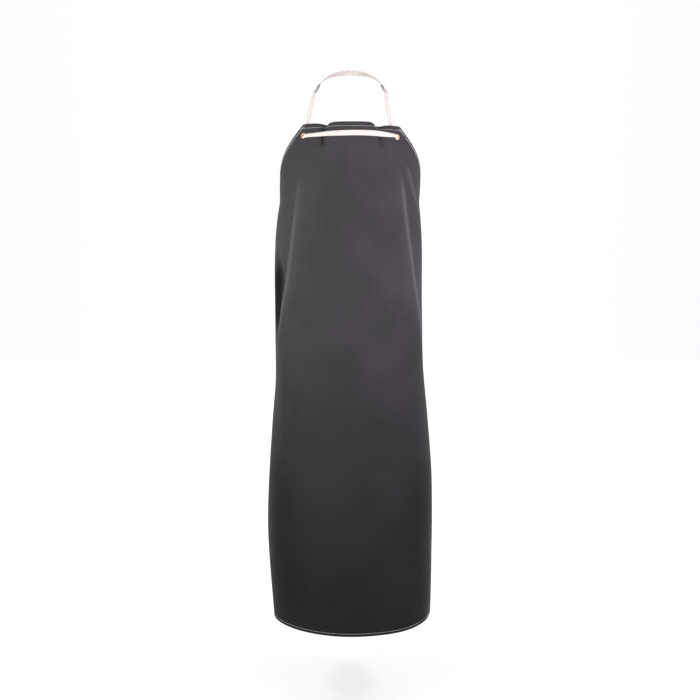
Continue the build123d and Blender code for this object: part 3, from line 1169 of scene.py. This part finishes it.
@dataclass
class ApronPanel:
    """The coated cotton panel with its turned hems and rows of stitches."""

    cloth: Cloth
    thickness: float = 1.0 * MM
    fine_rows: int = 34
    fine_depth: float = 0.085
    rows: int = 215
    columns: int = 300
    hem_widths: dict[Edge, float] = field(default_factory=lambda: {
        Edge.TOP: 12 * MM, Edge.LEFT_ARMHOLE: 10 * MM, Edge.RIGHT_ARMHOLE: 10 * MM,
        Edge.LEFT_SIDE: 12 * MM, Edge.RIGHT_SIDE: 12 * MM, Edge.BOTTOM: 14 * MM,
    })
    stitch_insets: dict[Edge, float] = field(default_factory=lambda: {
        Edge.TOP: 9 * MM, Edge.LEFT_ARMHOLE: 5 * MM, Edge.RIGHT_ARMHOLE: 5 * MM,
        Edge.LEFT_SIDE: 8 * MM, Edge.RIGHT_SIDE: 8 * MM, Edge.BOTTOM: 6 * MM,
    })
    hem_gap: float = 0.12 * MM  # between the two plies
    hem_step: float = 3.0 * MM
    corner_clear: float = 3.0 * MM  # the top hem stops this far from the armholes
    side_clear: float = 2.0 * MM  # the side and armhole hems stop this far from their corners
    bottom_clear: float = 1.0 * MM
    stitch_length: float = 3.3 * MM
    stitch_gap: float = 1.0 * MM
    stitch_radius: float = 0.42 * MM
    armhole_stitch_radius: float = 0.62 * MM
    stitch_stations: tuple[float, ...] = (-0.5, -0.36, -0.12, 0.12, 0.36, 0.5)  # along one stitch
    stitch_sizes: tuple[float, ...] = (0.15, 0.85, 1.0, 1.0, 0.85, 0.15)
    stitch_sinks: tuple[float, ...] = (-1.0, -0.2, 0.25, 0.25, -0.2, -1.0)
    stitch_spread: tuple[float, float] = (0.94, 1.05)  # how much the stitches differ in length
    stitch_sides: int = 8
    stitch_seed: int = 7

    def build_panel(self, finish: Wardrobe) -> bpy.types.Object:
        """Build the panel as a thin closed sheet.

        Args:
            finish: the finishes.

        Returns:
            The panel.
        """
        fine = np.linspace(0.0, self.fine_depth, self.fine_rows)
        drops = np.concatenate([fine, np.linspace(self.fine_depth, self.cloth.length, self.rows + 1)[1:]])
        shares = np.linspace(-1.0, 1.0, self.columns + 1)
        drop = np.repeat(drops, len(shares))
        share = np.tile(shares, len(drops))
        along = share * self.cloth.half_width(drop, share)
        outer = self.cloth.points(along, drop)
        inner = self.cloth.lifted(along, drop, -self.thickness)
        rows, columns = len(drops), len(shares)
        count = rows * columns
        front = grid_faces(rows, columns)
        back = [tuple(i + count for i in reversed(quad)) for quad in front]
        rim = self._rim(rows, columns)
        walls = [(a, b, b + count, a + count) for a, b in zip(rim, rim[1:] + rim[:1])]
        flat = np.tile(np.stack([along, -drop], axis=1), (2, 1))
        panel = make_piece("panel_cloth", np.concatenate([outer, inner]), front + back + walls, flat)
        dress(panel, finish.cloth, Body.APRON, Slot.COATED_COTTON, "apron_panel")
        panel.data.materials.append(finish.cloth_back)
        inner_faces = np.zeros(len(panel.data.polygons), np.int32)
        inner_faces[len(front): 2 * len(front)] = 1
        panel.data.polygons.foreach_set("material_index", inner_faces)
        drape = self.cloth.drape
        # the painted shade and the painted highlight that the cloth's finish reads
        for name, values in {SHADE_LAYER: drape.shade(along, drop), HIGHLIGHT_LAYER: drape.wear_and_highlight(along, drop)}.items():
            layer = panel.data.attributes.new(name, "FLOAT", "POINT")
            layer.data.foreach_set("value", np.tile(values, 2).astype(np.float32))
        return panel

    @staticmethod
    def _rim(rows: int, columns: int) -> list[int]:
        """The outline of a grid of points.

        Args:
            rows: how many rows of points.
            columns: how many points in a row.

        Returns:
            Point numbers in order round it.
        """
        top = list(range(columns - 1))
        right = [r * columns + columns - 1 for r in range(rows - 1)]
        bottom = [(rows - 1) * columns + c for c in range(columns - 1, 0, -1)]
        left = [r * columns for r in range(rows - 1, 0, -1)]
        return top + right + bottom + left

    def edge_line(self, edge: Edge, inset: float, step: float) -> tuple[np.ndarray, np.ndarray]:
        """Places along one edge of the cloth.

        Args:
            edge: which edge.
            inset: how far inside the edge.
            step: about how far apart.

        Returns:
            The places' along and drop.
        """
        c = self.cloth
        if edge is Edge.TOP:
            left, right = c.half_width(np.full(2, max(inset, 0.0)), np.array([-1.0, 1.0])) - self.corner_clear
            along = np.linspace(-left, right, int(2 * c.top_half / step) + 1)
            return along, np.full_like(along, inset)
        if edge is Edge.BOTTOM:
            reach = c.width / 2 - self.bottom_clear
            along = np.linspace(-reach, reach, int(2 * reach / step) + 1)
            return along, np.full_like(along, c.length - inset)
        sign = -1.0 if edge in (Edge.LEFT_ARMHOLE, Edge.LEFT_SIDE) else 1.0
        if edge in (Edge.LEFT_SIDE, Edge.RIGHT_SIDE):
            count = int((c.length - c.armhole_depth) / step)
            drop = np.linspace(c.armhole_depth + self.side_clear, c.length - self.side_clear, count)
            return np.full_like(drop, sign * (c.width / 2 - inset)), drop
        count = int(c.armhole_depth * 1.5 / step)  # the slanting edge is about half as long again
        drop = np.linspace(self.side_clear, c.armhole_depth - self.side_clear, count)
        slope = c.armhole_slope + 2 * c.armhole_bend * drop
        long = np.hypot(slope, 1.0)
        return sign * (c.half_width(drop, sign) - inset / long), drop + inset * slope / long

    def build_hem(self, edge: Edge, finish: Wardrobe) -> bpy.types.Object:
        """Build one turned hem: the cloth's edge folded once to the inside.

        Args:
            edge: which edge.
            finish: the finishes.

        Returns:
            The hem.
        """
        loops, flats = [], []
        for inset, lift in self.hem_section(self.hem_widths[edge]):
            along, drop = self.edge_line(edge, inset, self.hem_step)
            loops.append(self.cloth.lifted(along, drop, lift))
            flats.append(np.stack([along, -drop + lift], axis=1))
        rows, columns = len(loops[0]), len(loops)
        points = np.stack(loops, axis=1).reshape(-1, 3)
        flat = np.stack(flats, axis=1).reshape(-1, 2)
        faces = tube_faces(rows, columns)
        hem = make_piece(f"{edge.value}_hem_fold", points, faces, flat)
        dress(hem, finish.cloth, Body.APRON, Slot.COATED_COTTON, f"{edge.value}_hem")
        return hem

    def hem_section(self, width: float) -> list[tuple[float, float]]:
        """The closed section of a hem: the rounded fold outside the cloth's edge, and the ply inside.

        Args:
            width: how wide the hem is.

        Returns:
            Each corner's distance inside the edge, and its height off the cloth's outer face.
        """
        t, gap = self.thickness, self.hem_gap
        radius = t + gap / 2
        section = [(0.8 * MM, 0.06 * MM)]
        for turn in np.radians((-90.0, -45.0, 0.0, 45.0, 90.0)):
            section.append((-0.8 * radius * math.cos(turn), -radius - radius * math.sin(turn)))
        section += [(width, -2 * t - gap), (width, -t - gap), (1.2 * MM, -t - gap), (0.5 * MM, -0.5 * t)]
        return section

    def build_stitches(self, edge: Edge, finish: Wardrobe) -> bpy.types.Object:
        """Build one row of lockstitches, each a short rounded length of thread let into the cloth.

        Args:
            edge: which edge.
            finish: the finishes.

        Returns:
            The row of stitches.
        """
        pitch = self.stitch_length + self.stitch_gap
        along, drop = self.edge_line(edge, self.stitch_insets[edge], pitch)
        random = np.random.default_rng(self.stitch_seed)
        bold = edge in (Edge.LEFT_ARMHOLE, Edge.RIGHT_ARMHOLE)
        thick = self.armhole_stitch_radius if bold else self.stitch_radius
        stations, sizes, sinks = map(np.array, (self.stitch_stations, self.stitch_sizes, self.stitch_sinks))
        around = np.linspace(0, math.tau, self.stitch_sides, endpoint=False)
        girth = around / math.tau * 2.6 * MM
        run = np.stack([np.gradient(along), np.gradient(drop)])
        run = run / np.hypot(*run)
        out = self.cloth.faces_out(along, drop)
        one_stitch = tube_faces(len(stations), self.stitch_sides)
        points, flats, faces = [], [], []
        for i in range(len(along)):
            lengths = stations * self.stitch_length * random.uniform(*self.stitch_spread)
            a = along[i] + lengths * run[0, i]
            d = np.maximum(drop[i] + lengths * run[1, i], 0.1 * MM)
            spine = self.cloth.points(a, d) + out[i] * (sinks * thick)[:, None]
            forward = unit(np.gradient(spine, axis=0))
            side = unit(np.cross(forward, out[i]))
            up = np.cross(side, forward)
            ring = np.cos(around)[:, None] * side[:, None] + np.sin(around)[:, None] * up[:, None]
            rings = spine[:, None] + ring * (sizes * thick)[:, None, None]
            base = i * len(stations) * self.stitch_sides
            points.append(rings.reshape(-1, 3))
            local = np.stack(np.meshgrid(lengths, girth, indexing="ij"), axis=-1).reshape(-1, 2)
            flats.append(local + [i * pitch, 0.0])
            faces += [tuple(base + k for k in face) for face in one_stitch]
        row = make_piece(f"{edge.value}_stitches", np.concatenate(points), faces, np.concatenate(flats))
        dress(row, finish.thread, Body.APRON, Slot.THREAD, f"{edge.value}_stitching")
        return row

    def build(self, finish: Wardrobe) -> list[bpy.types.Object]:
        """Args:
            finish: the finishes.

        Returns:
            Every piece.
        """
        panel = self.build_panel(finish)
        hems = [self.build_hem(edge, finish) for edge in Edge]
        stitches = [self.build_stitches(edge, finish) for edge in Edge]
        return [panel, *hems, *stitches]


# The metal fittings


@dataclass
class Eyelet:
    """A brass eyelet, rolled over a washer, that is set through the cloth."""

    name: str
    nodes: tuple[str, str]
    centre: np.ndarray
    outward: np.ndarray
    hole: float = 3.2 * MM
    barrel: float = 3.75 * MM
    flange: float = 6.2 * MM
    cloth: float = 1.0 * MM
    segments: int = 48
    punch_sides: int = 24
    punch_turn: float = 0.05  # keeps the punch's corners off the cloth's own lines
    punch_tight: float = 0.1 * MM
    punch_reach: float = 4.0 * MM

    def section(self) -> list[tuple[float, float]]:
        """The eyelet's closed section.

        Returns:
            Each corner's distance from the axis, and its height off the cloth's outer face.
        """
        hole, barrel, flange, back = self.hole, self.barrel, self.flange, -self.cloth
        front = [
            (hole, -0.2 * MM), (hole, 0.25 * MM), (hole + 0.12 * MM, 0.60 * MM),
            (hole + 0.45 * MM, 0.88 * MM), (hole + 0.95 * MM, 0.98 * MM), (hole + 1.6 * MM, 0.90 * MM),
            (flange - 0.75 * MM, 0.66 * MM), (flange - 0.25 * MM, 0.36 * MM), (flange, 0.06 * MM),
            (flange - 0.08 * MM, -0.22 * MM),
        ]
        neck = [(barrel, -0.12 * MM), (barrel, back + 0.12 * MM)]
        washer = [
            (flange - 0.10 * MM, back + 0.20 * MM), (flange, back - 0.08 * MM),
            (flange - 0.20 * MM, back - 0.34 * MM), (barrel + 1.2 * MM, back - 0.46 * MM),
            (barrel + 0.7 * MM, back - 0.78 * MM),
            (barrel + 0.2 * MM, back - 0.98 * MM), (hole + 0.15 * MM, back - 0.90 * MM),
            (hole, back - 0.6 * MM),
        ]
        return front + neck + washer

    def build(self, finish: Wardrobe) -> bpy.types.Object:
        """Build the eyelet.

        Args:
            finish: the finishes.

        Returns:
            The eyelet.
        """
        ring = self._ring(self.segments)
        rows = [self.centre + radius * ring + height * self.outward for radius, height in self.section()]
        piece = make_piece(self.name, np.concatenate(rows), hoop_faces(len(rows), self.segments))
        dress(piece, finish.brass, Body.APRON, Slot.BRASS, *self.nodes)
        return piece

    def _ring(self, count: int, start: float = 0.0) -> np.ndarray:
        """Directions all round the eyelet's axis.

        Args:
            count: how many.
            start: the first one's angle from level, in radians.

        Returns:
            The directions.
        """
        level = unit(np.cross(self.outward, UP))
        upright = np.cross(level, self.outward)
        turn = (np.linspace(0.0, math.tau, count, endpoint=False) + start)[:, None]
        return np.cos(turn) * level + np.sin(turn) * upright

    def cut_hole(self, panel: bpy.types.Object) -> None:
        """Cut the eyelet's hole through the cloth.

        Args:
            panel: the cloth.
        """
        ring = self._ring(self.punch_sides, self.punch_turn) * (self.barrel - self.punch_tight)
        ends = [self.centre + ring + side * self.punch_reach * self.outward for side in (-1.0, 1.0)]
        faces = tube_faces(len(ends), self.punch_sides)
        punch = make_piece("eyelet_punch", np.concatenate(ends), faces, smooth=False)
        cut = panel.modifiers.new("hole", "BOOLEAN")
        cut.operation = "DIFFERENCE"
        cut.solver = "EXACT"
        cut.object = punch
        bpy.context.view_layer.update()
        holed = bpy.data.meshes.new_from_object(panel.evaluated_get(bpy.context.evaluated_depsgraph_get()))
        panel.modifiers.clear()
        panel.data = holed
        bpy.data.objects.remove(punch)


class TapeSlides:
    """The two metal slides that set the tape's length: the frame's own parts, finished."""

    def build(self, finish: Wardrobe) -> list[bpy.types.Object]:
        """Dress the slides.

        Args:
            finish: the finishes.

        Returns:
            The dressed parts.
        """
        names = [f"{side.word}_slide_{part}" for side in Side for part in ("frame", "bar")]
        dressed = [bpy.data.objects[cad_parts[name].name] for name in names]
        for node in dressed:
            node.data.materials.clear()
            node.data.materials.append(finish.nickel)
        return dressed


# The neck tape


@dataclass(frozen=True)
class TapeStation:
    """One station of the tape's route: a point, and the way its lower or outer edge faces."""

    point: Place
    edge: Place
    gather: float = 0.0


@dataclass
class TapeRoute:
    """A smooth line through stations, with the tape's edge direction and gathering along it."""

    stations: list[TapeStation]
    step: float = 2.0 * MM

    def sample(self, first: float, last: float) -> tuple[np.ndarray, np.ndarray, np.ndarray, np.ndarray]:
        """Read the route between two stations.

        Args:
            first: the first station's number, which may lie between two.
            last: the last station's number.

        Returns:
            Points, forward directions, edge directions and gathering.
        """
        knots = np.array([s.point for s in self.stations])
        place = np.concatenate([[0.0], np.cumsum(np.linalg.norm(np.diff(knots, axis=0), axis=1))])
        number = np.arange(len(knots), dtype=float)
        start, end = np.interp([first, last], number, place)
        at = np.linspace(start, end, max(int((end - start) / self.step), 2) + 1)

        def read(values: np.ndarray) -> np.ndarray:
            """A smooth curve through one value at each station."""
            return through(list(zip(place, values)), at)

        points = np.stack([read(knots[:, k]) for k in range(3)], axis=1)
        edges = np.array([s.edge for s in self.stations])
        edge = np.stack([np.interp(at, place, edges[:, k]) for k in range(3)], axis=1)
        forward = unit(np.gradient(points, axis=0))
        edge = unit(edge - forward * (edge * forward).sum(axis=1, keepdims=True))
        return points, forward, edge, np.interp(at, place, [s.gather for s in self.stations])


@dataclass
class Ribbon:
    """A flat woven tape swept along a line, which curls up where it is gathered."""

    width: float = 12.0 * MM
    thickness: float = 1.0 * MM
    across: int = 13
    full_curl: float = math.radians(225)
    least_curl: float = 0.02  # in radians, so that a flat tape still has a radius
    gathered_thickness: float = 0.62
    flattening: float = 0.65
    edge_thinning: float = 0.45

    def rings(
        self, points: np.ndarray, forward: np.ndarray, edge: np.ndarray, gather: np.ndarray, lift: float = 0.0
    ) -> np.ndarray:
        """The tape's sections.

        Args:
            points: the line.
            forward: its directions.
            edge: the direction of the tape's width at each point.
            gather: how far the tape is gathered there, 0 to 1.
            lift: how far the tape lies off the line, on its outer face.

        Returns:
            A closed section for each point.
        """
        out = np.cross(forward, edge)
        share = np.linspace(-0.5, 0.5, self.across)
        curl = np.maximum(gather * self.full_curl, self.least_curl)[:, None]
        radius = self.width / curl
        squeeze = 1.0 - (1.0 - self.flattening) * gather[:, None]
        u = radius * np.sin(share * curl)
        v = -radius * (1.0 - np.cos(share * curl)) * squeeze
        v = v - v.mean(axis=1, keepdims=True)
        du, dv = np.gradient(u, axis=1), np.gradient(v, axis=1)
        size = np.hypot(du, dv)
        nu, nv = -dv / size, du / size
        half = self.thickness / 2 * (1.0 - (1.0 - self.gathered_thickness) * gather[:, None])
        rim = 1.0 - self.edge_thinning * np.abs(share * 2) ** 12
        upper = np.stack([u + nu * half * rim, v + nv * half * rim + lift], axis=-1)
        lower = np.stack([u - nu * half * rim, v - nv * half * rim + lift], axis=-1)
        section = np.concatenate([upper, lower[:, ::-1]], axis=1)
        return points[:, None] + section[..., :1] * edge[:, None] + section[..., 1:] * out[:, None]

    def flat(self, points: np.ndarray) -> np.ndarray:
        """The flat place of each point of each section.

        Args:
            points: the line.

        Returns:
            For each, its place across the tape and along it, in metres.
        """
        along = np.concatenate([[0.0], np.cumsum(np.linalg.norm(np.diff(points, axis=0), axis=1))])
        share = np.linspace(-0.5, 0.5, self.across) * self.width
        across = np.concatenate([share, share[::-1]])
        return np.stack(np.broadcast_arrays(across[None, :], along[:, None]), axis=-1)


@dataclass
class NeckTape:
    """The cotton neck tape: over the nape, down both risers, through the eyelets and across the bib."""

    cloth: Cloth
    eyelet: Eyelet
    drop: float
    ribbon: Ribbon = field(default_factory=Ribbon)
    nape: tuple[TapeStation, ...] = (
        TapeStation((0.0, 0.0005, -0.0018), (0.0, 0.40, -0.92)),
        TapeStation((0.020, -0.0016, -0.0036), (0.06, 0.55, -0.83)),
        TapeStation((0.037, -0.0090, -0.0082), (0.28, 0.74, -0.61)),
        TapeStation((0.050, -0.0210, -0.0155), (0.45, 0.70, -0.55)),
        TapeStation((0.0595, -0.0360, -0.0245), (0.53, 0.62, -0.58)),
        TapeStation((0.066, -0.0500, -0.0333), (0.52, 0.60, -0.61)),
    )
    run_top: Place = (0.071, -0.066, -0.0435)  # the straight run that the slide travels on
    run_bottom: Place = (0.081, -0.106, -0.071)
    run_edge: Place = (0.50, 0.58, -0.64)
    run_shares: tuple[float, ...] = (0.0, 0.08, 0.92, 1.0)
    riser: tuple[TapeStation, ...] = (
        TapeStation((0.0852, -0.1126, -0.0830), (0.68, 0.55, -0.42)),
        TapeStation((0.0905, -0.1160, -0.1050), (0.74, 0.62, -0.05)),
        TapeStation((0.0962, -0.1180, -0.1320), (0.64, 0.74, 0.10), 0.25),
        TapeStation((0.1005, -0.1200, -0.1510), (0.68, 0.70, 0.16), 0.50),
    )
    right_pull: tuple[float, ...] = (-0.0030, -0.0050, -0.0065, -0.0060)
    tail_gap: float = 0.15 * MM
    tail_stations: int = 6  # how many stations the tail runs down from the straight run's top
    bunch_back: float = 6.2 * MM  # how far behind the eyelet the gathered tape turns up
    span_lift: float = 0.75 * MM
    span_rise: float = 2.4 * MM
    span_steps: int = 25
    span_clear: float = 3.0 * MM  # between the eyelet's mouth and the taut stretch
    span_ease: float = 4.0 * MM
    span_gather: float = 0.85
    right_gather_reach: float = 0.040  # how far from each eyelet the span is full width again
    left_gather_reach: float = 0.105
    span_bow: float = 0.9 * MM
    span_wander: float = 0.35 * MM

    def half_stations(self, side: Side) -> list[TapeStation]:
        """The stations from the middle of the nape to the front of an eyelet, as on the right.

        Args:
            side: whose riser it is; the right one is pulled a little towards the neck.

        Returns:
            The stations in order.
        """
        top, bottom = np.array(self.run_top), np.array(self.run_bottom)
        run = [TapeStation(tuple(top + (bottom - top) * share), self.run_edge) for share in self.run_shares]
        centre, out = self.eyelet.centre, self.eyelet.outward
        level = unit(np.cross(out, UP))
        level = level if level[0] > 0 else -level
        inward = -level
        behind = centre - self.bunch_back * out
        rise = np.array((0.0, 0.0, self.span_rise))
        eye = [
            TapeStation(tuple(behind + np.array((-0.0006, 0.0022, 0.0085))), (0.97, 0.1, 0.10), 0.6),
            TapeStation(tuple(behind + np.array((0.0, 0.0006, 0.0022))), tuple(level), 0.9),
            TapeStation(tuple(centre - 3.0 * MM * out), tuple(level + np.array((0, 0, -0.2))), 1.0),
            TapeStation(tuple(centre), tuple(level + np.array((0, 0, -0.8))), 1.0),
            TapeStation(tuple(centre + 2.2 * MM * out + 1.2 * MM * inward), (0.3, 0.2, -0.95), 1.0),
            TapeStation(tuple(centre + 3.0 * MM * out + 4.6 * MM * inward + rise / 2), (0.0, 0.0, -1.0), 0.9),
        ]
        pull = self.right_pull if side is Side.RIGHT else (0.0,) * len(self.riser)
        riser = [
            TapeStation((s.point[0] + shift, s.point[1], s.point[2]), s.edge, s.gather)
            for s, shift in zip(self.riser, pull)
        ]
        return [*self.nape, *run, *riser, *eye]

    @staticmethod
    def mirrored(stations: list[TapeStation]) -> list[TapeStation]:
        """The same stations on the other side, in the opposite order.

        Args:
            stations: the stations.

        Returns:
            Their mirror images.
        """
        flipped = []
        for s in reversed(stations):
            (x, y, z), (edge_x, edge_y, edge_z) = s.point, s.edge
            flipped.append(TapeStation((-x, y, z), (-edge_x, edge_y, edge_z), s.gather))
        return flipped

    def span_stations(self, start: Place) -> list[TapeStation]:
        """The stations across the bib's front, from right to left, where the taut tape bridges the creases.

        Args:
            start: where the tape comes off the right eyelet.

        Returns:
            The stations in order.
        """
        reach = start[0] - self.span_clear
        x, ahead = self._cloth_ahead(reach)
        ends_y = start[1] - 0.2 * MM + self.span_lift
        x = np.concatenate([[-start[0]], x, [start[0]]])
        ahead = np.concatenate([[ends_y], ahead, [ends_y]])
        hull: list[int] = []
        for i in range(len(x)):
            while len(hull) > 1:
                a, b = hull[-2], hull[-1]
                if (x[b] - x[a]) * (ahead[i] - ahead[a]) - (ahead[b] - ahead[a]) * (x[i] - x[a]) > 0:
                    break
                hull.pop()
            hull.append(i)
        at = np.linspace(reach - self.span_ease, self.span_ease - reach, self.span_steps)
        taut = np.interp(at, x[hull], ahead[hull]) - self.span_lift
        z = self.cloth.form.top_z - self.drop + self.span_rise
        z = z + self.span_bow * (1.0 - (at / reach) ** 2) + self.span_wander * np.sin(31.0 * at + 0.6)
        near_right = 1.0 - (reach - at) / self.right_gather_reach
        near_left = 1.0 - (reach + at) / self.left_gather_reach
        gather = self.span_gather * np.maximum(np.maximum(near_right, near_left), 0.0)
        down = (0.0, 0.0, -1.0)
        return [TapeStation(tuple(place), down, share) for *place, share in zip(at, taut, z, gather)]

    def _cloth_ahead(self, reach: float) -> tuple[np.ndarray, np.ndarray]:
        """Where the front span's height on the bib lies.

        Args:
            reach: how far from the middle to look, on each side.

        Returns:
            Places across the bib, and the foremost depth of the cloth at each, over the tape's width.
        """
        wide = np.linspace(-0.116, 0.116, 233)
        half = self.ribbon.width / 2
        drops = (self.drop - half, self.drop, self.drop + half)
        rows = [self.cloth.points(wide, np.full_like(wide, drop)) for drop in drops]
        x = np.linspace(-reach, reach, 181)
        return x, np.min([np.interp(x, row[:, 0], row[:, 1]) for row in rows], axis=0)

    def build_loop(self, finish: Wardrobe) -> bpy.types.Object:
        """Build the tape as one closed loop.

        Args:
            finish: the finishes.

        Returns:
            The tape.
        """
        right = self.half_stations(Side.RIGHT)
        left = self.mirrored(self.half_stations(Side.LEFT))
        route = TapeRoute(left[:-1] + right + self.span_stations(right[-1].point) + [left[0]])
        points, forward, edge, gather = route.sample(0, len(route.stations) - 1)
        rings = self.ribbon.rings(points[:-1], forward[:-1], edge[:-1], gather[:-1])
        flat = self.ribbon.flat(points[:-1])
        rows, columns = rings.shape[:2]
        faces = hoop_faces(rows, columns)
        tape = make_piece("neck_tape", rings.reshape(-1, 3), faces, flat.reshape(-1, 2))
        tape.data.materials.append(finish.tape)
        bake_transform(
            tape, Body.APRON.value, Body.NECK_LOOP.value, start=(0, -0.130, -0.178), end=(0, -0.119, -0.140)
        )
        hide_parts("front_span_tape", "nape_tape", "left_riser_tape", "right_riser_tape")
        return tape

    def build_tail(self, side: Side, finish: Wardrobe) -> bpy.types.Object:
        """Build one doubled-back tail, which lies on the riser's outer face and ends in a cut edge.

        Args:
            side: which side.
            finish: the finishes.

        Returns:
            The tail.
        """
        stations = self.half_stations(side)
        top = len(self.nape)
        lift = self.ribbon.thickness + self.tail_gap
        points, forward, edge, gather = TapeRoute(stations).sample(top, top + self.tail_stations)
        rings = self.ribbon.rings(points, forward, edge, gather, lift)
        if side is Side.LEFT:
            rings = rings[:, ::-1] * np.array((-1.0, 1.0, 1.0))
        rows, columns = rings.shape[:2]
        faces: list[tuple[int, ...]] = list(grid_faces(rows, columns, closed=True))
        half = columns // 2
        for r in (0, rows - 1):
            for c in range(half - 1):
                quad = (c, c + 1, columns - 2 - c, columns - 1 - c)
                faces.append(tuple(r * columns + i for i in (quad[::-1] if r == 0 else quad)))
        flat = self.ribbon.flat(points).reshape(-1, 2)
        tail = make_piece(f"{side.word}_tape_tail", rings.reshape(-1, 3), faces, flat)
        dress(tail, finish.tape, Body.NECK_LOOP, Slot.COTTON_TAPE, f"{side.word}_tail_tape")
        return tail


# The studio


@dataclass(frozen=True)
class SoftLight:
    """A square or oblong lamp, placed from the point that it faces."""

    name: str
    offset: Place
    size: tuple[float, float]
    watts: float
    tint: tuple[float, float, float] = (1.0, 1.0, 1.0)

    def hang(self, at: Vector) -> None:
        """Hang the lamp.

        Args:
            at: the point it faces.
        """
        data = bpy.data.lights.new(self.name, "AREA")
        data.shape = "RECTANGLE"
        data.size, data.size_y = self.size
        data.energy = self.watts
        data.color = self.tint
        lamp = bpy.data.objects.new(self.name, data)
        lamp.location = at + Vector(self.offset)
        lamp.visible_camera = False
        lamp.rotation_euler = (-Vector(self.offset)).to_track_quat("-Z", "Y").to_euler()
        bpy.context.scene.collection.objects.link(lamp)


@dataclass(frozen=True)
class Studio:
    """A pale floor, soft light from both sides, pale surroundings and the camera."""

    floor_drop: float = 0.22
    floor_reach: float = 14.0
    floor_lines: int = 9
    lit_drop: float = 0.22  # the lamps face this far below the bib's top edge
    lamps: tuple[SoftLight, ...] = (
        SoftLight("key_left", (-0.95, -1.25, 0.15), (0.8, 0.8), 11.0),
        SoftLight("key_right", (0.95, -1.25, 0.15), (0.8, 0.8), 11.4, (1.0, 0.90, 1.05)),
        SoftLight("left_side", (-0.75, -0.35, 0.02), (0.3, 0.35), 4.0),
        SoftLight("right_side", (0.75, -0.35, 0.02), (0.3, 0.35), 4.6, (1.0, 0.90, 1.05)),
    )
    room_depths: Span = (-1.0, 0.6)  # from the front of the room to its back, where it grows paler
    room_strengths: tuple[float, float] = (0.60, 1.02)
    side_strength: float = 0.66  # the share left at the far left and right
    eye: Place = (-0.001, -2.15, -0.407)  # the camera, from the middle of the bib's top edge
    lens: float = 48.5
    sensor: float = 36.0
    tilt: float = math.radians(2.86)

    def build_floor(self, hem_z: float, finish: Wardrobe) -> None:
        """Build the floor.

        Args:
            hem_z: the height of the apron's hem.
            finish: the finishes.
        """
        side = np.linspace(-self.floor_reach, self.floor_reach, self.floor_lines)
        points = np.array([(x, y, hem_z - self.floor_drop) for y in side for x in side])
        quads = grid_faces(self.floor_lines, self.floor_lines)
        floor = make_piece("floor", points, [quad[::-1] for quad in quads])
        floor.data.materials.append(finish.paper)

    def build_lights(self, top: Vector) -> None:
        """Hang the lamps and set the pale surroundings.

        Args:
            top: the middle of the bib's top edge.
        """
        for lamp in self.lamps:
            lamp.hang(top - Vector((0.0, 0.0, self.lit_drop)))
        world = bpy.data.worlds.new("pale_room")
        world.use_nodes = True
        n = Nodes(world.node_tree)
        toward = n.add("ShaderNodeTexCoord").outputs["Generated"]
        depth = n.range(n.axis(toward, "Y"), *self.room_depths, *self.room_strengths, "SMOOTHSTEP")
        across = n.axis(toward, "X")
        dim = n.range(n.math("MULTIPLY", across, across), 0.0, 1.0, 1.0, self.side_strength)
        back = n.tree.nodes["Background"]
        n.feed(back.inputs["Strength"], n.math("MULTIPLY", depth, dim))
        back.inputs["Color"].default_value = (1.0, 1.0, 1.0, 1.0)
        bpy.context.scene.world = world

    def build_camera(self, top: Vector) -> None:
        """Set up the camera in front of the bib.

        Args:
            top: the middle of the bib's top edge.
        """
        data = bpy.data.cameras.new("camera")
        data.lens = self.lens
        data.sensor_width = self.sensor
        camera = bpy.data.objects.new("camera", data)
        camera.location = top + Vector(self.eye)
        camera.rotation_euler = (math.radians(90) - self.tilt, 0.0, 0.0)
        bpy.context.scene.collection.objects.link(camera)
        bpy.context.scene.camera = camera
        bpy.context.scene.view_settings.view_transform = "Standard"


def build_eyelets(cloth: Cloth) -> dict[str, Eyelet]:
    """Place the four eyelets where the frame has them, on the draped cloth.

    Args:
        cloth: the draped cloth.

    Returns:
        The eyelets by name.
    """
    eyelets = {}
    for place in ("neck", "waist"):
        for side in Side:
            name = f"{side.word}_{place}_eyelet"
            low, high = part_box(name)
            middle = np.array((low + high) / 2)
            drop = cloth.form.top_z - middle[2]
            along = np.linspace(0.0, cloth.width / 2, SEARCH_STEPS) * side.value
            around = cloth.points(along, np.full_like(along, drop))
            near = along[np.argmin(np.linalg.norm(around - middle, axis=1))]
            at = np.array([near]), np.array([drop])
            eyelets[name] = Eyelet(
                name=f"{side.word}_{place}_brass",
                nodes=(name, f"{side.word}_{place}_washer"),
                centre=cloth.points(*at)[0],
                outward=cloth.faces_out(*at)[0],
            )
    return eyelets


def main() -> None:
    logging.basicConfig(level=logging.INFO, format="%(name)s: %(message)s")
    finish = Wardrobe()
    low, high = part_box("apron_panel")
    cloth = Cloth(form=WornForm(top_z=high.z, front_y=low.y), drape=Drape())
    studio = Studio()
    top = Vector((0.0, low.y, high.z))
    studio.build_camera(top)

    pieces = ApronPanel(cloth).build(finish)
    eyelets = build_eyelets(cloth)
    for eyelet in eyelets.values():
        eyelet.cut_hole(pieces[0])
        pieces.append(eyelet.build(finish))
    right = eyelets["right_neck_eyelet"]
    tape = NeckTape(cloth=cloth, eyelet=right, drop=cloth.form.top_z - right.centre[2])
    pieces.append(tape.build_loop(finish))
    pieces += [tape.build_tail(side, finish) for side in Side]
    pieces += TapeSlides().build(finish)

    studio.build_floor(low.z, finish)
    studio.build_lights(top)


if __name__ == "__main__":
    main()
